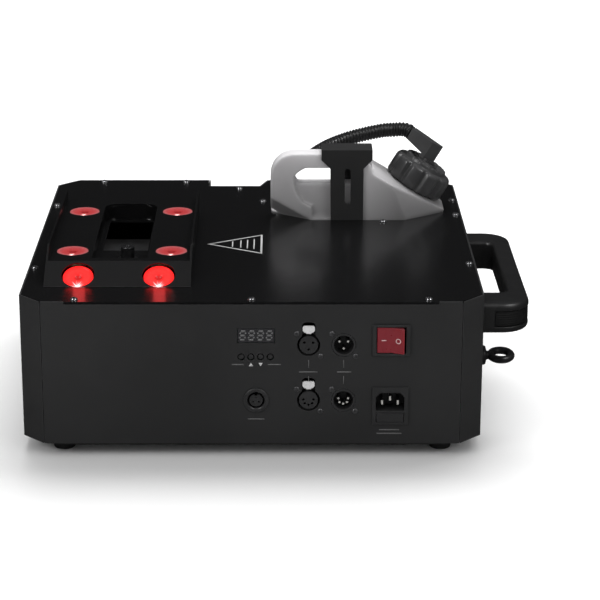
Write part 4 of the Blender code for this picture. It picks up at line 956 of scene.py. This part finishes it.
def build_handle():
    stations = handle_stations()
    rings = []
    for o, i in stations:
        inward = (i - o).normalized()
        ring = []
        for side, inset, z in handle_section(o.x > GRIP_START):
            p = o + inward * inset if side == "o" else i - inward * inset
            ring.append((p.x, p.y, z))
        rings.append(ring)
    obj = from_bmesh(ring_loft(rings), CASING)
    finish_piece(obj, "side_handle_loop", "handle_plastic", ROOT, "side_handle")
    obj.data.set_sharp_from_angle(angle=math.radians(50))

    g0, g1 = GRIP_Z[0] + 0.0003, GRIP_Z[1] - 0.0003
    rings = []
    inside = [(o, i) for o, i in stations if o.x > GRIP_START + 0.0004]
    last = len(inside) - 1
    for k, (o, i) in enumerate(inside):
        inward = (i - o).normalized()
        low = 0.0012 if k in (0, last) else 0.0004
        ribs = []
        steps = 28
        for s in range(steps + 1):
            t = s / steps
            z = g0 + (g1 - g0) * t
            crown = 0.0005 * (2 * t - 1) ** 4
            rib = 0.00035 * (0.5 + 0.5 * math.cos(2 * math.pi * t * 7))
            ribs.append((o + inward * (low + crown + rib), z))
        ribs += [(o + inward * (GRIP_DEPTH - 0.0003), g1), (o + inward * (GRIP_DEPTH - 0.0003), g0)]
        rings.append([(p.x, p.y, z) for p, z in ribs])
    obj = from_bmesh(ring_loft(rings), CASING)
    finish_piece(obj, "handle_grip_ribbed", "grip_rubber", ROOT, "handle_grip")
    obj.data.set_sharp_from_angle(angle=math.radians(50))


EYE_AT = Vector((0.2149, -0.130, 0.0571))
EYE_RING_R = 0.0088
EYE_TUBE_R = 0.0033
EYE_ROLL = math.radians(8)


def build_eyebolt():
    """Forged ring on a collar."""
    big, thin = EYE_RING_R, EYE_TUBE_R
    rings = []
    for i in range(56):
        a = 2 * math.pi * i / 56
        ring = []
        for k in range(18):
            b = 2 * math.pi * k / 18
            r = big + thin * math.cos(b)
            ring.append((r * math.cos(a), r * math.sin(a), thin * math.sin(b)))
        rings.append(ring)
    eye = ring_loft(rings, loop=True)
    eye.transform(Matrix.Rotation(EYE_ROLL, 4, "X"))
    wall = HALF_W - EYE_AT.x
    along = Matrix.Rotation(math.radians(90), 4, "Y")
    collar = turned([(0.0, wall + GAP), (0.0080, wall + GAP), (0.0085, wall + 0.0008),
                     (0.0085, wall + 0.0050), (0.0078, wall + 0.0064), (0.0052, wall + 0.0071),
                     (0.0040, wall + 0.0072), (0.0034, -big - 0.0004), (0.0, -big - 0.0004)], 36)
    collar.transform(along)
    shank = turned([(0.0, wall - 0.0120), (0.0026, wall - 0.0120), (0.0029, wall - 0.0115),
                    (0.0029, wall + 0.001), (0.0, wall + 0.001)], 24)
    shank.transform(along)
    matrix = CASING @ Matrix.Translation(EYE_AT)
    obj = from_bmesh(join_all([eye, collar, shank]), matrix)
    finish_piece(obj, "safety_eyebolt_forged", "black_steel", ROOT, "safety_eyebolt")


# ---------------------------------------------------------------- inside

def dress_inside():
    """Procedural finishes for the CAD nodes that stay as they are."""
    dress = {
        "circuit_board": ("led_board_left", "led_board_right", "led_board_front", "control_board",
                          "driver_board"),
        "zinc": ("heater_stand", "jug_bay_liner", "fluid_pump", "power_supply", "eyebolt_nut"),
        "cast_aluminium": ("heater_block",),
        "insulation": ("heater_insulation",),
        "brass": ("intake_filter",),
        "clear_tube": ("pickup_tube", "pump_inlet_tube", "pump_outlet_tube"),
    }
    for mat, names in dress.items():
        for name in names:
            node = NODES[name]
            node.data.materials.clear()
            node.data.materials.append(MATS[mat])
    softened("fog_nozzle", "nozzle_metal", "fog_nozzle_tip", 0.0003)


# ---------------------------------------------------------------- studio

CAMERA_AT = Vector((0.022, -1.902, 0.695))
CAMERA_DIP = math.radians(18.35)
CAMERA_LENS = 130.44
CAMERA_SHIFT = 0.0368


def area_light(name, at, target, size, power, colour=(1, 1, 1)):
    data = bpy.data.lights.new(name, "AREA")
    data.shape = "RECTANGLE"
    data.size, data.size_y = size
    data.energy = power
    data.color = colour
    obj = bpy.data.objects.new(name, data)
    bpy.context.scene.collection.objects.link(obj)
    obj.location = at
    obj.rotation_euler = (Vector(target) - Vector(at)).to_track_quat("-Z", "Y").to_euler()
    return obj


def build_studio():
    scene = bpy.context.scene
    scene.view_settings.view_transform = "Standard"
    mat = bpy.data.materials.new("studio_floor")
    mat.use_nodes = True
    shader = mat.node_tree.nodes["Principled BSDF"]
    shader.inputs["Base Color"].default_value = (0.90, 0.90, 0.90, 1)
    shader.inputs["Roughness"].default_value = 0.85
    bm = bmesh.new()
    bmesh.ops.create_grid(bm, x_segments=1, y_segments=1, size=8.0)
    floor = from_bmesh(bm)
    floor.name = "studio_floor"
    floor.data.materials.append(mat)
    floor.visible_glossy = False

    world = bpy.data.worlds.new("studio")
    scene.world = world
    world.use_nodes = True
    nodes, links = world.node_tree.nodes, world.node_tree.links
    out = nodes["World Output"]
    bright = nodes["Background"]
    bright.inputs["Color"].default_value = (1, 1, 1, 1)
    bright.inputs["Strength"].default_value = 0.55
    dim = nodes.new("ShaderNodeBackground")
    dim.inputs["Color"].default_value = (1, 1, 1, 1)
    dim.inputs["Strength"].default_value = 0.012
    path = nodes.new("ShaderNodeLightPath")
    mix = nodes.new("ShaderNodeMixShader")
    links.new(path.outputs["Is Glossy Ray"], mix.inputs[0])
    links.new(bright.outputs[0], mix.inputs[1])
    links.new(dim.outputs[0], mix.inputs[2])
    links.new(mix.outputs[0], out.inputs["Surface"])

    area_light("key_left", (-2.1, -1.8, 1.8), (0, 0, 0.08), (0.9, 0.9), 17)
    area_light("fill_right", (1.8, -1.8, 1.5), (0, 0, 0.08), (0.9, 0.9), 7)
    top = area_light("top_rear", (0.35, 1.2, 2.35), (0, 0, 0), (2.4, 1.8), 85)
    top.visible_glossy = False
    for name, x in (("glint_left", -1.3), ("glint_right", 1.3)):
        glint = area_light(name, (x, -0.9, 2.1), (0, 0, 0.1), (0.28, 0.28), 22)
        glint.visible_diffuse = False
    for name in ("lens_front_left", "lens_front_right"):
        lo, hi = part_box(name)
        at = Vector(((lo.x + hi.x) / 2, ORIGIN.y - 0.139, ORIGIN.z + HEIGHT + 0.019))
        beam = area_light(name + "_beam", at, at + Vector((0, -0.94, -0.34)), (0.010, 0.026), 0.0020,
                          (1.0, 0.07, 0.07))
        beam.visible_diffuse = False
        beam.visible_camera = False

    camera = bpy.data.cameras.new("camera")
    camera.lens = CAMERA_LENS
    camera.sensor_width = 36
    camera.shift_x = CAMERA_SHIFT
    camera.clip_end = 60
    obj = bpy.data.objects.new("camera", camera)
    scene.collection.objects.link(obj)
    obj.location = CASING @ CAMERA_AT
    obj.rotation_euler = (math.radians(90) - CAMERA_DIP, 0, 0)
    scene.camera = obj


build_casing()
build_shadow_strip()
build_screws()
build_lenses()
build_jug()
build_cap()
build_hose()
build_sockets()
build_display()
build_panel_print()
build_lid_label()
build_switch()
build_inlet()
build_handle()
build_eyebolt()
dress_inside()
build_studio()
